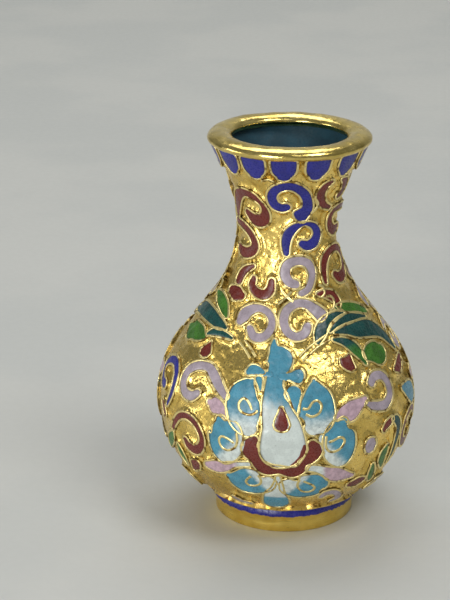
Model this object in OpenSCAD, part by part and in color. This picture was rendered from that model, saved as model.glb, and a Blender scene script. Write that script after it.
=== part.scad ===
// Miniature cloisonne vase: a spun copper body with soldered gilt wires, enamel cells,
// a heavy rolled rim and a plain foot ring. Millimetres, +Z up, origin at the centre
// of the foot's underside, front of the vase towards -Y.

/* [Body profile] */
// Radius of the belly's curve, seen from the side, over the enamel
belly_curve_r = 20.5; // [20:0.1:20.8]
// Distance of the belly curve's centre from the axis
belly_centre_r = 4.1; // [3.6:0.1:4.2]
// Height of the belly's widest line
belly_height = 22.6; // [22.2:0.1:22.7]
// Radius of the neck's hollow curve, over the enamel
neck_curve_r = 22.4; // [22:0.1:22.8]
// Distance of the neck curve's centre from the axis
neck_centre_r = 32; // [31.9:0.1:32.6]
// Height of the neck's narrowest line
neck_height = 56.8; // [56.7:0.1:57.4]
// Slope of the flare under the rim, measured from the vertical
flare_angle = 24; // [22:0.5:26]

/* [Metal] */
// Thickness of the copper body
shell_t = 0.9; // [0.7:0.1:1.1]
// Height of the body's flat base above the table
base_z = 3.4; // [3.2:0.1:3.6]
// Radius to the crest of the rim ring
rim_crest_r = 12.85; // [12.75:0.05:12.95]
// Height of the rim ring's middle
rim_z = 73.75; // [73.7:0.05:73.9]
// Half the rim ring's width
rim_half_w = 2.3; // [2.2:0.02:2.4]
// Half the rim ring's height
rim_half_h = 1.25; // [1.2:0.05:1.35]
// Outer radius of the foot where it stands
foot_r = 13.2; // [13:0.1:13.4]
// Outer radius of the foot's upper edge
foot_top_r = 13.9; // [13.7:0.1:14]
// Height of the foot ring's outside
foot_h = 3.5; // [3.3:0.1:3.6]
// Height of the straight lower part of the foot's outside
foot_straight_h = 1.5; // [1:0.1:2]
// Wall thickness of the foot ring
foot_t = 1.2; // [1:0.1:1.4]

/* [Enamel and wire] */
// Height of the enamel and the wires above the copper
enamel_t = 0.7; // [0.5:0.05:0.8]
// Width of a wire
wire_w = 0.35; // [0.3:0.01:0.4]
// Thickness of the enamel inside the vase
lining_t = 0.4; // [0.3:0.05:0.5]
// Thickness of the enamel under the base
base_enamel_t = 0.3; // [0.2:0.05:0.4]
// Number of blue tongues under the rim, besides the five at the front
back_tongues = 9; // [8:1:9]
// Height of the dark blue line over the foot
band_h = 1.8; // [1.4:0.1:1.8]

/* [Hidden] */

// Where each group of motifs stands, as degrees round the vase from the front.
// The lotus groups repeat three times. The columns between them are of two kinds:
// the left kind stands left of the front lotus and again at the back.
front_az = 0;
right_az = 120;
left_az = 240;
lotus_az = [front_az, right_az, left_az];
left_column_az = [-55, 185];
right_column_az = 55;
front_tongue_az = [-48.6, -25.4, -1.8, 23.9, 51.5];
// The neck's columns stand a little nearer to the front than the belly's
neck_shift = 5;
foot_fill_az = [-62, 62, 178];

gold = [0.83, 0.66, 0.28];
copper_gilt = [0.80, 0.60, 0.22];
cobalt = [0.09, 0.10, 0.38];
oxblood = [0.36, 0.10, 0.09];
lilac = [0.60, 0.54, 0.60];
green = [0.16, 0.36, 0.12];
teal = [0.05, 0.24, 0.23];
turquoise = [0.22, 0.50, 0.62];
white_enamel = [0.76, 0.82, 0.80];
pink = [0.72, 0.58, 0.63];

// Fineness of the curves: facets round the vase, steps of the belly's and the neck's
// outline, degrees between two points of the rim, and rungs of a cell for each of its
// control points. The end of a cell reaches cap_depth beyond its last control point.
$fn = 96;
belly_steps = 24;
neck_steps = 14;
rim_step = 10;
rung_share = 0.8;
cap_depth = 0.55;
cap_share = 0.65;
least_w = 0.04;
// Overlaps and gaps between pieces that are fused or fitted on the real vase
wire_rise = 0.02;
wire_root = 0.1;
seat_gap = 0.02;

// The wall's outline is the belly's arc, a straight line, the neck's arc and a
// straight flare. A place on the wall is given by its arc length from the widest line.
centre_dx = neck_centre_r - belly_centre_r;
centre_dz = neck_height - belly_height;
centre_gap = norm([centre_dx, centre_dz]);
join_angle = atan2(centre_dz, centre_dx) - acos((belly_curve_r + neck_curve_r) / centre_gap);
belly_end = belly_curve_r * join_angle * PI / 180;
neck_start = belly_end + sqrt(pow(centre_gap, 2) - pow(belly_curve_r + neck_curve_r, 2));
flare_start = neck_start + neck_curve_r * (join_angle + flare_angle) * PI / 180;
lip_s = flare_start + 7.7;

// The five tongues at the front are set by hand, the others share the rest of the circle
last_tongue = front_tongue_az[len(front_tongue_az) - 1];
tongue_gap = (360 - last_tongue + front_tongue_az[0]) / (back_tongues + 1);
tongue_az = concat(front_tongue_az, [for (i = [1 : back_tongues]) last_tongue + i * tongue_gap]);

// The foot's upper edge carries the blue line, which swells a little over it
band_in_r = foot_r - 0.2;
band_swell = 0.15;
flare_steps = 4;

// Tilt of the wall's outward normal above the horizontal
function wall_tilt(s) =
    s < belly_end ? s / belly_curve_r * 180 / PI
    : max(-flare_angle, min(join_angle, join_angle - (s - neck_start) / neck_curve_r * 180 / PI));

// Radius and height of the wall at arc length s and height h above the copper
function on_profile(s, h) =
    let (
        a = wall_tilt(s),
        line = s < neck_start ? max(0, s - belly_end) : 0,
        flare = max(0, s - flare_start),
        low = [belly_centre_r, belly_height] + belly_curve_r * [cos(a), sin(a)] + line * [-sin(a), cos(a)],
        high = [neck_centre_r, neck_height] - neck_curve_r * [cos(a), sin(a)] + flare * [-sin(a), cos(a)]
    )
    (s < neck_start ? low : high) + (h - enamel_t) * [cos(a), sin(a)];

// Point in space: p is [distance across, arc length up] from the meridian at azimuth az
function on_wall(az, p, h) =
    let (
        q = on_profile(p[1], h),
        turn = az + p[0] / on_profile(p[1], enamel_t)[0] * 180 / PI
    )
    [q[0] * sin(turn), -q[0] * cos(turn), q[1]];

// Smooth curve through a list of control points, t counts the points passed
function knot(p, i) = p[max(0, min(len(p) - 1, i))];
function curve_at(p, t) =
    let (
        i = min(floor(t), len(p) - 2),
        u = t - i,
        a = knot(p, i - 1),
        b = knot(p, i),
        c = knot(p, i + 1),
        d = knot(p, i + 2)
    )
    0.5 * (2 * b + (c - a) * u + (2 * a - 5 * b + 4 * c - d) * u * u
        + (3 * b - a - 3 * c + d) * u * u * u);
function heading_at(p, t) =
    let (
        step = curve_at(p, min(t + 0.1, len(p) - 1)) - curve_at(p, max(t - 0.1, 0)),
        flat = [step[0], step[1]]
    )
    flat / norm(flat);

// A cell is a band with a centre line of [across, up, half width]. A rung is the pair of
// points on its two sides. Rungs are trimmed by trim, and a short one rounds off each end.
function rung(c, d, w) = [[c[0] - w * d[1], c[1] + w * d[0]], [c[0] + w * d[1], c[1] - w * d[0]]];
function end_rung(c, d, side, trim) =
    let (reach = side * max(least_w, min(c[2], cap_depth) + trim))
    rung([c[0] + reach * d[0], c[1] + reach * d[1]], d, max(least_w, cap_share * (c[2] + trim)));
function rungs(p, trim) =
    let (
        n = max(4, ceil(len(p) * rung_share)),
        last = len(p) - 1
    )
    concat(
        [end_rung(p[0], heading_at(p, 0), -1, trim)],
        [for (i = [0 : n - 1])
            let (t = i * last / (n - 1), c = curve_at(p, t))
            rung(c, heading_at(p, t), max(least_w, c[2] + trim))],
        [end_rung(p[last], heading_at(p, last), 1, trim)]
    );

// Solid swept through rings of points, closed on itself or with flat ends
module sweep(rings, closed = false) {
    m = len(rings[0]);
    n = len(rings);
    points = [for (ring = rings) for (q = ring) q];
    sides = [
        for (i = [0 : closed ? n - 1 : n - 2])
        for (j = [0 : m - 1])
        let (k = (i + 1) % n, l = (j + 1) % m)
        each [[i * m + j, k * m + j, k * m + l], [i * m + j, k * m + l, i * m + l]]
    ];
    ends = closed ? [] : [
        [for (j = [0 : m - 1]) j],
        [for (j = [m - 1 : -1 : 0]) (n - 1) * m + j]
    ];
    polyhedron(points, concat(sides, ends), convexity = 8);
}

// Enamel of one cell, from low to high above the copper
module pad(az, p, trim = -wire_w / 2, low = 0, high = enamel_t) {
    sweep([for (r = rungs(p, trim))
        [
            on_wall(az, r[0], high),
            on_wall(az, r[1], high),
            on_wall(az, r[1], low),
            on_wall(az, r[0], low)
        ]]);
}

// Wire round one cell: flat on top, with its lower edge on the copper
module wire_loop(az, p) {
    outer = rungs(p, wire_w / 2);
    inner = rungs(p, -wire_w / 2);
    middle = rungs(p, 0);
    last = len(outer) - 1;
    up = [for (i = [0 : last])
        [
            on_wall(az, outer[i][0], enamel_t),
            on_wall(az, inner[i][0], enamel_t),
            on_wall(az, middle[i][0], 0)
        ]];
    down = [for (i = [last : -1 : 0])
        [
            on_wall(az, outer[i][1], enamel_t),
            on_wall(az, inner[i][1], enamel_t),
            on_wall(az, middle[i][1], 0)
        ]];
    sweep(concat(up, down), closed = true);
}

// Open wire along a line of [across, up] points
module wire_line(az, p) {
    sweep([for (t = [0 : len(p) - 1])
        let (c = curve_at(p, t), r = rung(c, heading_at(p, t), wire_w / 2))
        [
            on_wall(az, r[0], enamel_t + wire_rise),
            on_wall(az, r[1], enamel_t + wire_rise),
            on_wall(az, c, wire_root)
        ]]);
}

module pads(az, cells) {
    for (p = cells) pad(az, p);
}

module wire_loops(az, cells) {
    for (p = cells) wire_loop(az, p);
}

// Collar
tongue = [[0, 55.1, 2.35], [0, 53.4, 2.2], [0, 52.4, 1.85], [0, 51.7, 1.2]];

// Neck, centre: two cobalt scrolls that hook into each other
neck_blue = [
    [[2.4, 42.9, 1.4], [3.7, 44.2, 1.1], [3.9, 46, 0.9], [3.2, 48, 0.9], [1.5, 49.4, 0.85],
        [-0.4, 49.5, 0.85], [-2, 48.6, 0.85], [-2.7, 47, 0.85], [-2.2, 45.4, 0.85],
        [-0.9, 44.7, 0.8], [0, 44.9, 0.7]],
    [[0.1, 35.8, 0.5], [0, 37.5, 0.75], [0.4, 39.3, 0.9], [1.6, 40.7, 0.7], [3.3, 41.3, 0.3],
        [5, 40.8, 0.55], [5.9, 39.3, 0.8], [5.4, 37.7, 1.0], [4.1, 37.1, 0.9], [3, 37.5, 0.6]]
];

// Neck, left column
neck_red_left = [
    [[-3.2, 41.6, 0.8], [-2.6, 43.5, 1.1], [-1.2, 45.6, 1.1], [0.8, 46.8, 0.8], [3, 46.5, 0.75],
        [4.5, 45.1, 0.4], [5, 43.5, 0.7], [4.3, 41.9, 1.1], [2.5, 41.5, 1.1], [0.8, 42.5, 0.7]],
    [[-8, 38.2, 0.4], [-5, 39.5, 0.45], [-2, 39.7, 0.6], [0.5, 38.9, 0.65], [2, 37.2, 0.7],
        [2, 35.7, 0.9], [0.6, 34.8, 0.95], [-1.1, 34.8, 0.9], [-2.2, 35.4, 0.5]]
];
shoulder_red_left = [
    [[0, 29.3, 0.9], [0.2, 30.3, 0.9], [1, 31.5, 0.7], [2.6, 32.6, 0.3]],
    [[-1.2, 27.2, 0.7], [-0.2, 27.1, 1.1], [1, 26.9, 1.2], [2.1, 26.8, 0.7]]
];

// Neck, right column
neck_red_right = [
    [[-2.2, 49.8, 0.5], [-3.1, 49.1, 0.8], [-3.4, 47.6, 0.85], [-2.9, 46, 0.75], [-1.8, 44.7, 0.55],
        [-0.3, 43.9, 0.35]],
    [[0.8, 49.9, 0.3], [1.9, 49.2, 0.75], [2.5, 47.7, 0.85], [2.2, 46.5, 0.85], [1.5, 46, 0.6]],
    [[8.5, 42.2, 0.4], [6, 42.9, 0.5], [3.5, 43.2, 0.55], [1.5, 42.9, 0.5], [0.6, 41.7, 0.6],
        [0.8, 40.1, 0.8], [2, 39, 0.9], [3.5, 39.2, 0.7]],
    [[-1.6, 29.8, 0.35], [-1.4, 32, 0.6], [-0.8, 34, 0.75], [0.6, 35.2, 0.7], [2.4, 35.4, 0.6],
        [4.2, 34.6, 0.6], [5.2, 33, 0.55], [5.1, 31.3, 0.75], [3.8, 30, 0.95], [2.2, 29.9, 0.9],
        [1.2, 30.6, 0.6]]
];
shoulder_red_right = [
    [[-4, 27.9, 0.3], [-2.8, 27.8, 0.6], [-1.2, 27.1, 1], [-0.4, 25.9, 0.7], [-0.8, 25, 0.3]]
];

// Shoulder, centre: three lilac scrolls over the lotus and a red crescent beside them
shoulder_lilac = [
    [[3.1, 28.4, 0.6], [4.2, 29, 0.65], [4.9, 30.4, 0.65], [5.1, 32, 0.7], [4.2, 33.8, 0.75],
        [2.2, 34.4, 0.75], [0.4, 33.7, 0.85], [-0.1, 32, 0.9], [0.7, 30.6, 0.85],
        [1.9, 30.1, 0.75]],
    [[7.2, 23.9, 1.1], [6, 25, 0.95], [4.2, 26.3, 0.75], [2.2, 26.5, 0.75], [0.5, 25.3, 0.8],
        [0, 23.3, 0.8], [0.7, 21.4, 0.8], [2.3, 20.4, 0.75], [3.9, 20.9, 0.85], [4.4, 22.2, 0.75]],
    [[-8.7, 22.2, 0.7], [-7.9, 23.4, 1.1], [-6.7, 24.6, 0.9], [-5, 25.3, 0.7], [-3.2, 24.9, 0.7],
        [-2.2, 23.3, 0.65], [-2.5, 21.4, 0.7], [-3.8, 20, 0.75], [-5.5, 19.9, 0.85], [-6.3, 21.1, 0.75]]
];
shoulder_crescent = [
    [[-6.1, 30.4, 0.5], [-6.4, 29.2, 0.75], [-5.3, 28.1, 0.8], [-3.7, 28, 0.8], [-2.7, 29, 0.75],
        [-2.5, 30.5, 0.5]]
];

// Shoulder leaves
leaf_green_left = [
    [[-4.5, 25.2, 0.3], [-2.5, 24.9, 0.9], [-0.2, 24.1, 1], [1.3, 23.1, 0.7], [2.4, 22.3, 0.25]],
    [[-7.3, 16.7, 0.7], [-5.8, 16.6, 1.9], [-4, 17, 1.7], [-2.2, 17.1, 1.5], [-0.9, 17, 1],
        [0, 17, 0.4]]
];
leaf_teal_left = [
    [[-11.5, 19.2, 0.6], [-8, 20.7, 1.1], [-5, 21.2, 1.3], [-2, 21.2, 1.3], [0.5, 20.8, 1.1],
        [2.4, 20.4, 0.8], [3.9, 20.2, 0.25]],
    [[0.5, 17.9, 0.3], [1.5, 18.6, 0.65], [3, 18.9, 0.6], [4.8, 18.9, 0.45], [6.4, 18.7, 0.2]]
];
leaf_green_right = [
    [[-2.6, 24.8, 0.3], [-0.6, 24.5, 0.8], [1.6, 23.8, 0.9], [3.8, 22.7, 0.8], [5.6, 21.7, 0.5]],
    [[-1.3, 14.6, 1], [0, 14.6, 1.8], [1.4, 14.3, 2.2], [2.8, 14.2, 1.9], [3.6, 14.3, 1.1]]
];
leaf_teal_right = [
    [[-9.9, 19, 0.35], [-8.7, 20.4, 0.8], [-7.4, 21.7, 0.9], [-5.8, 22.8, 0.8], [-3.8, 23.5, 0.6],
        [-1.8, 23.7, 0.3]],
    [[-6.4, 20.8, 0.2], [-4.6, 21.8, 0.5], [-2.4, 22.3, 0.7], [0, 22.2, 0.7], [2.2, 21.7, 0.5],
        [4, 21, 0.2]],
    [[-5.4, 20.3, 0.2], [-3, 20.2, 0.8], [-0.6, 19.6, 1.4], [2, 19.2, 1.6], [4.4, 18.4, 1.5],
        [6.4, 17, 1.2], [8, 14.9, 1], [9, 12.8, 0.5]],
    [[-6.4, 19, 0.3], [-5, 18.4, 0.7], [-3.8, 17.4, 1.05], [-3, 16, 1.1], [-2.7, 14.6, 0.7],
        [-2.6, 13.4, 0.3]]
];
side_turquoise = [
    [[5.6, 5.8, 0.4], [7, 5.2, 1.1], [9, 4.2, 1.8], [11, 3, 1.9], [12.4, 2.2, 1]]
];

// Red buds under the leaves
bud_left = [[[2.5, 16.6, 0.2], [2.5, 15.8, 0.8], [2.5, 14.9, 1.35], [2.5, 14.5, 1.2]]];
bud_right = [[[-5.2, 15.5, 0.2], [-5.8, 14.8, 0.8], [-6.4, 14.2, 1.45], [-6.9, 13.8, 1.2]]];

// Belly, left column
belly_lilac_left = [
    [[11.6, 7.9, 0.5], [9.6, 9.4, 0.8], [7.6, 11.1, 0.9], [5.6, 12.3, 0.8], [3.6, 12.2, 0.8],
        [1.8, 11.3, 0.9], [0.8, 9.7, 0.9], [0.9, 7.8, 0.9], [2.2, 6.3, 0.9], [4.1, 6.1, 0.85],
        [5.4, 7, 0.7]]
];
belly_red_left = [
    [[-0.6, -1.6, 0.4], [0.2, -0.2, 0.5], [1.9, 1.6, 0.5], [4.4, 2.2, 0.5], [6.7, 1.2, 0.5],
        [8, -1, 0.5], [7.4, -3, 0.7], [5.8, -4.1, 0.9], [4.2, -3.7, 0.9], [3.5, -2.8, 0.6]],
    [[5.3, -7.4, 0.7], [4.6, -8, 1.1], [3.9, -8.8, 0.7], [3.4, -9.5, 0.3]],
    [[-5.6, 1.7, 0.5], [-4.7, 0.8, 0.6], [-3.9, -0.2, 0.4]]
];
belly_blue_left = [
    [[-3.2, 2.2, 0.4], [-2.2, 4.2, 0.55], [-1.9, 6.5, 0.65], [-2.4, 8.7, 0.75], [-4.2, 10.1, 0.75],
        [-6.3, 9.9, 0.65], [-8.2, 8.7, 0.6], [-8.7, 6.9, 0.6], [-7.4, 5.2, 0.95], [-6, 5.1, 0.85]]
];
belly_green_left = [
    [[-0.9, -2.8, 0.3], [-1.6, -3.9, 0.9], [-2.6, -5.1, 1], [-3.4, -6.4, 0.6]],
    [[0.4, -5, 0.3], [0.8, -6.2, 0.7], [1.3, -7.6, 0.7], [1.7, -8.8, 0.3]]
];

// Belly, right column
belly_lilac_right = [
    [[-5.6, 6.1, 0.4], [-4.6, 5.5, 0.7], [-3, 5, 0.8], [-1, 4.9, 0.9], [0.6, 6.3, 0.85],
        [0.8, 8.5, 0.85], [-0.2, 10.2, 0.85], [-2.1, 10.5, 0.85], [-3.4, 9.6, 0.75]],
    [[-5.5, -1.2, 1.1], [-5.5, -2, 1.35], [-5.5, -2.8, 1.1]],
    [[9.8, 16.6, 0.4], [11.4, 17.4, 0.75], [13.4, 17, 0.85], [14.6, 15.2, 0.9], [14.2, 13.2, 0.9],
        [12.6, 12.2, 0.85], [11.2, 12.8, 0.75], [11.1, 14.2, 0.6]]
];
belly_red_right = [
    [[-2, 0.3, 0.5], [-1.4, 0.8, 0.7], [-0.5, 1.2, 0.7], [0.2, 1.5, 0.6]],
    [[-7.2, -10.6, 0.7], [-6.2, -10.6, 1.1], [-5.2, -10.5, 1.1], [-4.6, -10.5, 0.8]],
    [[5, 9.6, 0.4], [6.6, 9.6, 1], [8.2, 10.2, 0.9], [9.2, 10.6, 0.6]],
    [[12.3, -1.8, 0.4], [11.4, -0.6, 0.5], [9.8, 0.5, 0.55], [7.8, 0.5, 0.5], [5.9, -0.7, 0.5],
        [4.9, -2.8, 0.55], [5.4, -4.8, 0.7], [7, -5.7, 0.9], [8.6, -5.1, 0.9], [9.1, -4, 0.6]]
];
belly_teal_right = [
    [[1, 1.5, 0.5], [1.9, 1, 0.75], [2.7, -0.2, 0.75], [2.7, -2, 0.7], [2.3, -4, 0.6], [1.9, -6, 0.45],
        [1.4, -8, 0.2]]
];
belly_green_right = [
    [[-0.6, -3.8, 0.4], [-1.1, -4.8, 0.95], [-1.3, -6.2, 0.95], [-0.8, -7.6, 0.6], [-0.4, -8.4, 0.3]],
    [[-3.6, -6.9, 0.25], [-3.2, -8.2, 0.6], [-2.6, -9.8, 0.7], [-1.9, -11.2, 0.4]]
];

// Small lilac scrolls under the lotus, and a third kind that fills the foot of each column
low_lilac = [
    [[7.8, -13.2, 0.5], [8.7, -12.3, 0.65], [10.2, -12.2, 0.75], [11.2, -13.4, 0.75], [11.1, -15, 0.7],
        [9.9, -15.9, 0.5]],
    [[-9, -15.2, 0.4], [-8, -16.2, 0.6], [-6.8, -16.8, 0.6], [-5.6, -16.8, 0.4]]
];
foot_lilac = [
    [[-2.6, -14.6, 0.5], [-1.6, -13.4, 0.65], [0, -13, 0.7], [1.4, -13.8, 0.7], [1.6, -15.4, 0.6],
        [0.6, -16.2, 0.45]]
];

// Lotus
heart = [
    [-1.6, 19.6, 0.2], [-1.6, 18.4, 0.7], [-1, 17.3, 1.7], [-0.5, 16.2, 2.3], [-0.5, 14.9, 2],
    [-1, 13.4, 1.5], [-1.3, 11, 1.55], [-1, 8.6, 2.3], [-0.6, 6.2, 2.8], [0.2, 3.5, 3.5],
    [0.5, 1, 4], [0.6, -1, 4.15], [0.7, -2.5, 3.6], [0.9, -3.5, 2.4]
];
seed = [[0.15, 7, 0.2], [0.2, 6, 0.65], [0.2, 4.9, 1.1], [0.25, 4, 1.3], [0.25, 3.7, 1.2]];
upper_petals = [
    [[-6.1, 13.2, 0.5], [-5.3, 13.7, 0.9], [-4.4, 13.8, 0.7], [-3.5, 13.5, 0.4]],
    [[1.5, 12.9, 0.6], [2.4, 12.9, 1.1], [3.2, 12.9, 1.3]],
    [[-4.1, 12, 0.6], [-3.9, 11.2, 0.4], [-3.8, 10.2, 0.15]],
    [[2.4, 10.3, 1.2], [2.3, 9.6, 1.4], [2.6, 8.4, 0.8], [2.8, 7.4, 0.5], [3, 6.6, 0.2]],
    [[-5.3, 11.7, 0.25], [-6, 10.8, 1.4], [-6.8, 9, 2.7], [-7, 7, 3.2], [-6.8, 5.2, 3.1],
        [-6.2, 3.6, 2.4], [-5.5, 2.5, 1.4]],
    [[5.9, 11.9, 0.25], [6.1, 10.6, 1.5], [6.5, 8.6, 2.8], [6.7, 6.4, 3.3], [6.7, 5, 3.2],
        [6.3, 3.9, 2.5], [5.6, 3, 1.3]]
];
side_petals = [
    [[-11.3, 3.6, 1], [-11, 2.8, 2.2], [-10.4, 1.6, 3.2], [-10.4, 0, 3.4], [-10.3, -1.4, 3.2],
        [-9.6, -2.6, 2.9], [-9, -3.3, 2.4]],
    [[11.8, 3.8, 0.9], [11.3, 3, 2.1], [11.1, 1.6, 3], [11.2, 0, 3.2], [11.1, -1.4, 3.1],
        [10.5, -2.7, 2.9], [9.9, -3.4, 2.3]]
];
sepal = [
    [-4.7, 0.9, 0.7], [-5.4, -0.2, 1.3], [-5.3, -1.6, 1.5], [-4.5, -2.9, 1], [-3.6, -4.2, 1.1],
    [-2.2, -5, 1.2], [0, -5, 0.8], [2.3, -5.5, 1.1], [3.8, -4.9, 0.9], [4.8, -3.5, 0.8], [6, -2, 1.2],
    [6.4, -0.8, 1.3], [5.9, 0.2, 0.8]
];
pink_petals = [
    [[-13.8, 6.2, 0.6], [-13, 6, 1.4], [-12, 5.8, 1.3], [-11.1, 5.2, 0.9], [-10.4, 4.4, 0.4]],
    [[10.7, 4.9, 0.5], [11.8, 5.5, 1.2], [13.3, 5.6, 1.9], [14.9, 6.3, 1.3], [16.3, 6.9, 0.7]],
    [[-5.8, -4.3, 0.4], [-7.4, -4.6, 0.4], [-9, -5.1, 0.55], [-10.6, -6, 1], [-12.4, -6.4, 1.3],
        [-14.2, -6.6, 0.8]],
    [[5.6, -4.7, 0.6], [7, -5, 0.7], [8.6, -5.8, 1], [10, -6.7, 1.6], [11.4, -7.3, 1.5],
        [13, -7.8, 0.9], [13.9, -8, 0.5]]
];
lower_petals = [
    [[-9.7, -7.8, 0.5], [-8.4, -8.2, 2.1], [-6.5, -8.5, 3.2], [-4.4, -8.9, 3], [-2.8, -8.7, 2.1],
        [-1.7, -7.8, 1.2]],
    [[1.2, -8.2, 1.3], [2, -9.2, 2.2], [3.5, -9.8, 2.8], [5.3, -9.4, 3.1], [7, -8.9, 2.6],
        [8.3, -9, 1.3]]
];
drop = [
    [-0.3, -6.8, 0.3], [-0.3, -8, 0.55], [-0.5, -10, 1.1], [-0.9, -12, 1.9], [-0.7, -14, 2.3],
    [-0.7, -15.6, 2.2], [-0.7, -16.5, 1.6]
];

// Open wires that curl inside the petals, as [across, up]
curls = [
    [[-4.2, 6.4], [-5, 5.7], [-6.2, 5.5], [-7.5, 6], [-7.8, 7.2], [-7.1, 8.2], [-6.3, 8.1], [-5.6, 7.2],
        [-5.3, 6.4]],
    [[4, 7], [5, 7], [5.8, 8.1], [6.7, 8.3], [7.5, 7.4], [7.1, 6.1], [5.8, 5.5], [4.6, 6]],
    [[-8.1, 1.8], [-7.9, 0.2], [-8.4, -1.2], [-9.8, -2], [-11, -1.6], [-11.6, -0.3], [-11, 0.6],
        [-9.6, 0.3], [-8.6, -0.3]],
    [[8.5, 1.6], [8.4, -0.2], [9, -1.3], [10, -1.6], [11.3, -1.1], [12.1, 0.1], [11.7, 0.9], [10.8, 1],
        [9.8, 0.6], [9, 0.4]],
    [[-4, -6.6], [-3.5, -7.5], [-3.6, -8.7], [-4.5, -9.4], [-5.7, -9.5], [-6.3, -8.7], [-6, -7.8],
        [-5.3, -7]],
    [[3.7, -7.4], [3.3, -8.4], [3.4, -9.6], [4.2, -10.7], [5.5, -10.9], [6.4, -10.1], [6.2, -9.2],
        [5.3, -8.4], [4.4, -7.8]]
];

// Half section of the vase filled to its axis, at height h above the copper,
// with its underside at height floor_z
module filled_half(h, floor_z) {
    start = -asin((belly_height - floor_z) / (belly_curve_r - enamel_t + h)) * belly_curve_r * PI / 180;
    belly_points = [for (i = [0 : belly_steps])
        on_profile(start + i * (belly_end - start) / belly_steps, h)];
    neck_points = [for (i = [0 : neck_steps])
        on_profile(neck_start + i * (flare_start - neck_start) / neck_steps, h)];
    lip = on_profile(lip_s, h);
    polygon(concat([[0, floor_z]], belly_points, neck_points, [lip, [0, lip[1]]]));
}

module body_shell() {
    color(copper_gilt)
    rotate_extrude()
    difference() {
        filled_half(0, base_z);
        filled_half(-shell_t, base_z + shell_t);
        lip_cut();
    }
}

// Everything above the slanted edge of the body's lip
module lip_cut() {
    outside = on_profile(lip_s, 0);
    inside = on_profile(lip_s, -shell_t - lining_t - 1);
    polygon([outside, outside + [0, 5], [0, outside[1] + 5], [0, inside[1]], inside]);
}

module interior_enamel() {
    color(turquoise * 0.6)
    rotate_extrude()
    difference() {
        filled_half(-shell_t, base_z + shell_t);
        filled_half(-shell_t - lining_t, base_z + shell_t + lining_t);
        lip_cut();
    }
}

module underside_enamel() {
    color(turquoise * 0.6)
    rotate_extrude()
    difference() {
        intersection() {
            filled_half(base_enamel_t, base_z - base_enamel_t);
            square([foot_r - foot_t, belly_height]);
        }
        filled_half(0, base_z);
    }
}

// Oval bead that wraps the lip of the body
module rim_ring() {
    color(gold)
    rotate_extrude()
    difference() {
        polygon([for (a = [0 : rim_step : 360 - rim_step])
            [rim_crest_r + rim_half_w * cos(a), rim_z + rim_half_h * sin(a)]]);
        difference() {
            filled_half(0, base_z);
            filled_half(-shell_t - lining_t, base_z + shell_t + lining_t);
            lip_cut();
        }
    }
}

// Standing strip soldered under the body, straight at its bottom and flared above
module foot_ring() {
    color(gold)
    rotate_extrude()
    difference() {
        polygon(concat(
            [[foot_r - foot_t, 0], [foot_r, 0]],
            [for (i = [0 : flare_steps])
                let (t = i / flare_steps)
                [foot_r + t * t * (foot_top_r - foot_r), foot_straight_h + t * (foot_h - foot_straight_h)]],
            [[band_in_r, foot_h], [band_in_r, belly_height / 2], [foot_r - foot_t, belly_height / 2]]
        ));
        filled_half(0, base_z);
    }
}

// Dark blue line in the corner between the foot and the belly
module foot_band_enamel() {
    color(cobalt)
    rotate_extrude()
    difference() {
        polygon([
            [band_in_r, foot_h], [foot_top_r, foot_h], [foot_top_r + band_swell, foot_h + band_h / 2],
            [foot_top_r - band_swell, foot_h + band_h], [band_in_r, foot_h + band_h]
        ]);
        filled_half(0, base_z);
    }
}

// Ring of wire that closes the blue line at the top
module foot_band_wire() {
    low = -belly_curve_r * asin((belly_height - foot_h - band_h / 2) / belly_curve_r) * PI / 180;
    color(gold)
    rotate_extrude()
    polygon([
        on_profile(low, wire_root),
        on_profile(low, enamel_t),
        on_profile(low + wire_w, enamel_t),
        on_profile(low + wire_w, wire_root)
    ]);
}

module collar_wires() {
    color(gold) for (az = tongue_az) wire_loop(az, tongue);
}

module collar_blue_enamel() {
    color(cobalt) for (az = tongue_az) pad(az, tongue);
}

module neck_scroll_wires() {
    color(gold) {
        for (az = lotus_az) wire_loops(az, neck_blue);
        for (az = left_column_az) wire_loops(az + neck_shift, neck_red_left);
        wire_loops(right_column_az - neck_shift, neck_red_right);
    }
}

module neck_blue_enamel() {
    color(cobalt) for (az = lotus_az) pads(az, neck_blue);
}

module neck_red_enamel() {
    color(oxblood) {
        for (az = left_column_az) pads(az + neck_shift, neck_red_left);
        pads(right_column_az - neck_shift, neck_red_right);
    }
}

module shoulder_scroll_wires() {
    color(gold) {
        for (az = lotus_az) wire_loops(az, concat(shoulder_lilac, shoulder_crescent));
        for (az = left_column_az) wire_loops(az + neck_shift, shoulder_red_left);
        wire_loops(right_column_az - neck_shift, shoulder_red_right);
    }
}

module shoulder_lilac_enamel() {
    color(lilac) for (az = lotus_az) pads(az, shoulder_lilac);
}

module shoulder_red_enamel() {
    color(oxblood) {
        for (az = lotus_az) pads(az, shoulder_crescent);
        for (az = left_column_az) pads(az + neck_shift, shoulder_red_left);
        pads(right_column_az - neck_shift, shoulder_red_right);
    }
}

module leaf_wires() {
    color(gold) {
        for (az = left_column_az) wire_loops(az, concat(leaf_green_left, leaf_teal_left, belly_green_left));
        wire_loops(right_column_az, concat(leaf_green_right, leaf_teal_right));
        wire_loops(right_column_az, concat(belly_green_right, belly_teal_right, side_turquoise));
    }
}

module leaf_green_enamel() {
    color(green) {
        for (az = left_column_az) pads(az, concat(leaf_green_left, belly_green_left));
        pads(right_column_az, concat(leaf_green_right, belly_green_right));
    }
}

module leaf_teal_enamel() {
    color(teal) {
        for (az = left_column_az) pads(az, leaf_teal_left);
        pads(right_column_az, concat(leaf_teal_right, belly_teal_right));
    }
}

module side_turquoise_enamel() {
    color(turquoise) pads(right_column_az, side_turquoise);
}

module bud_wires() {
    color(gold) {
        for (az = left_column_az) wire_loops(az, bud_left);
        wire_loops(right_column_az, bud_right);
    }
}

module bud_red_enamel() {
    color(oxblood) {
        for (az = left_column_az) pads(az, bud_left);
        pads(right_column_az, bud_right);
    }
}

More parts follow.
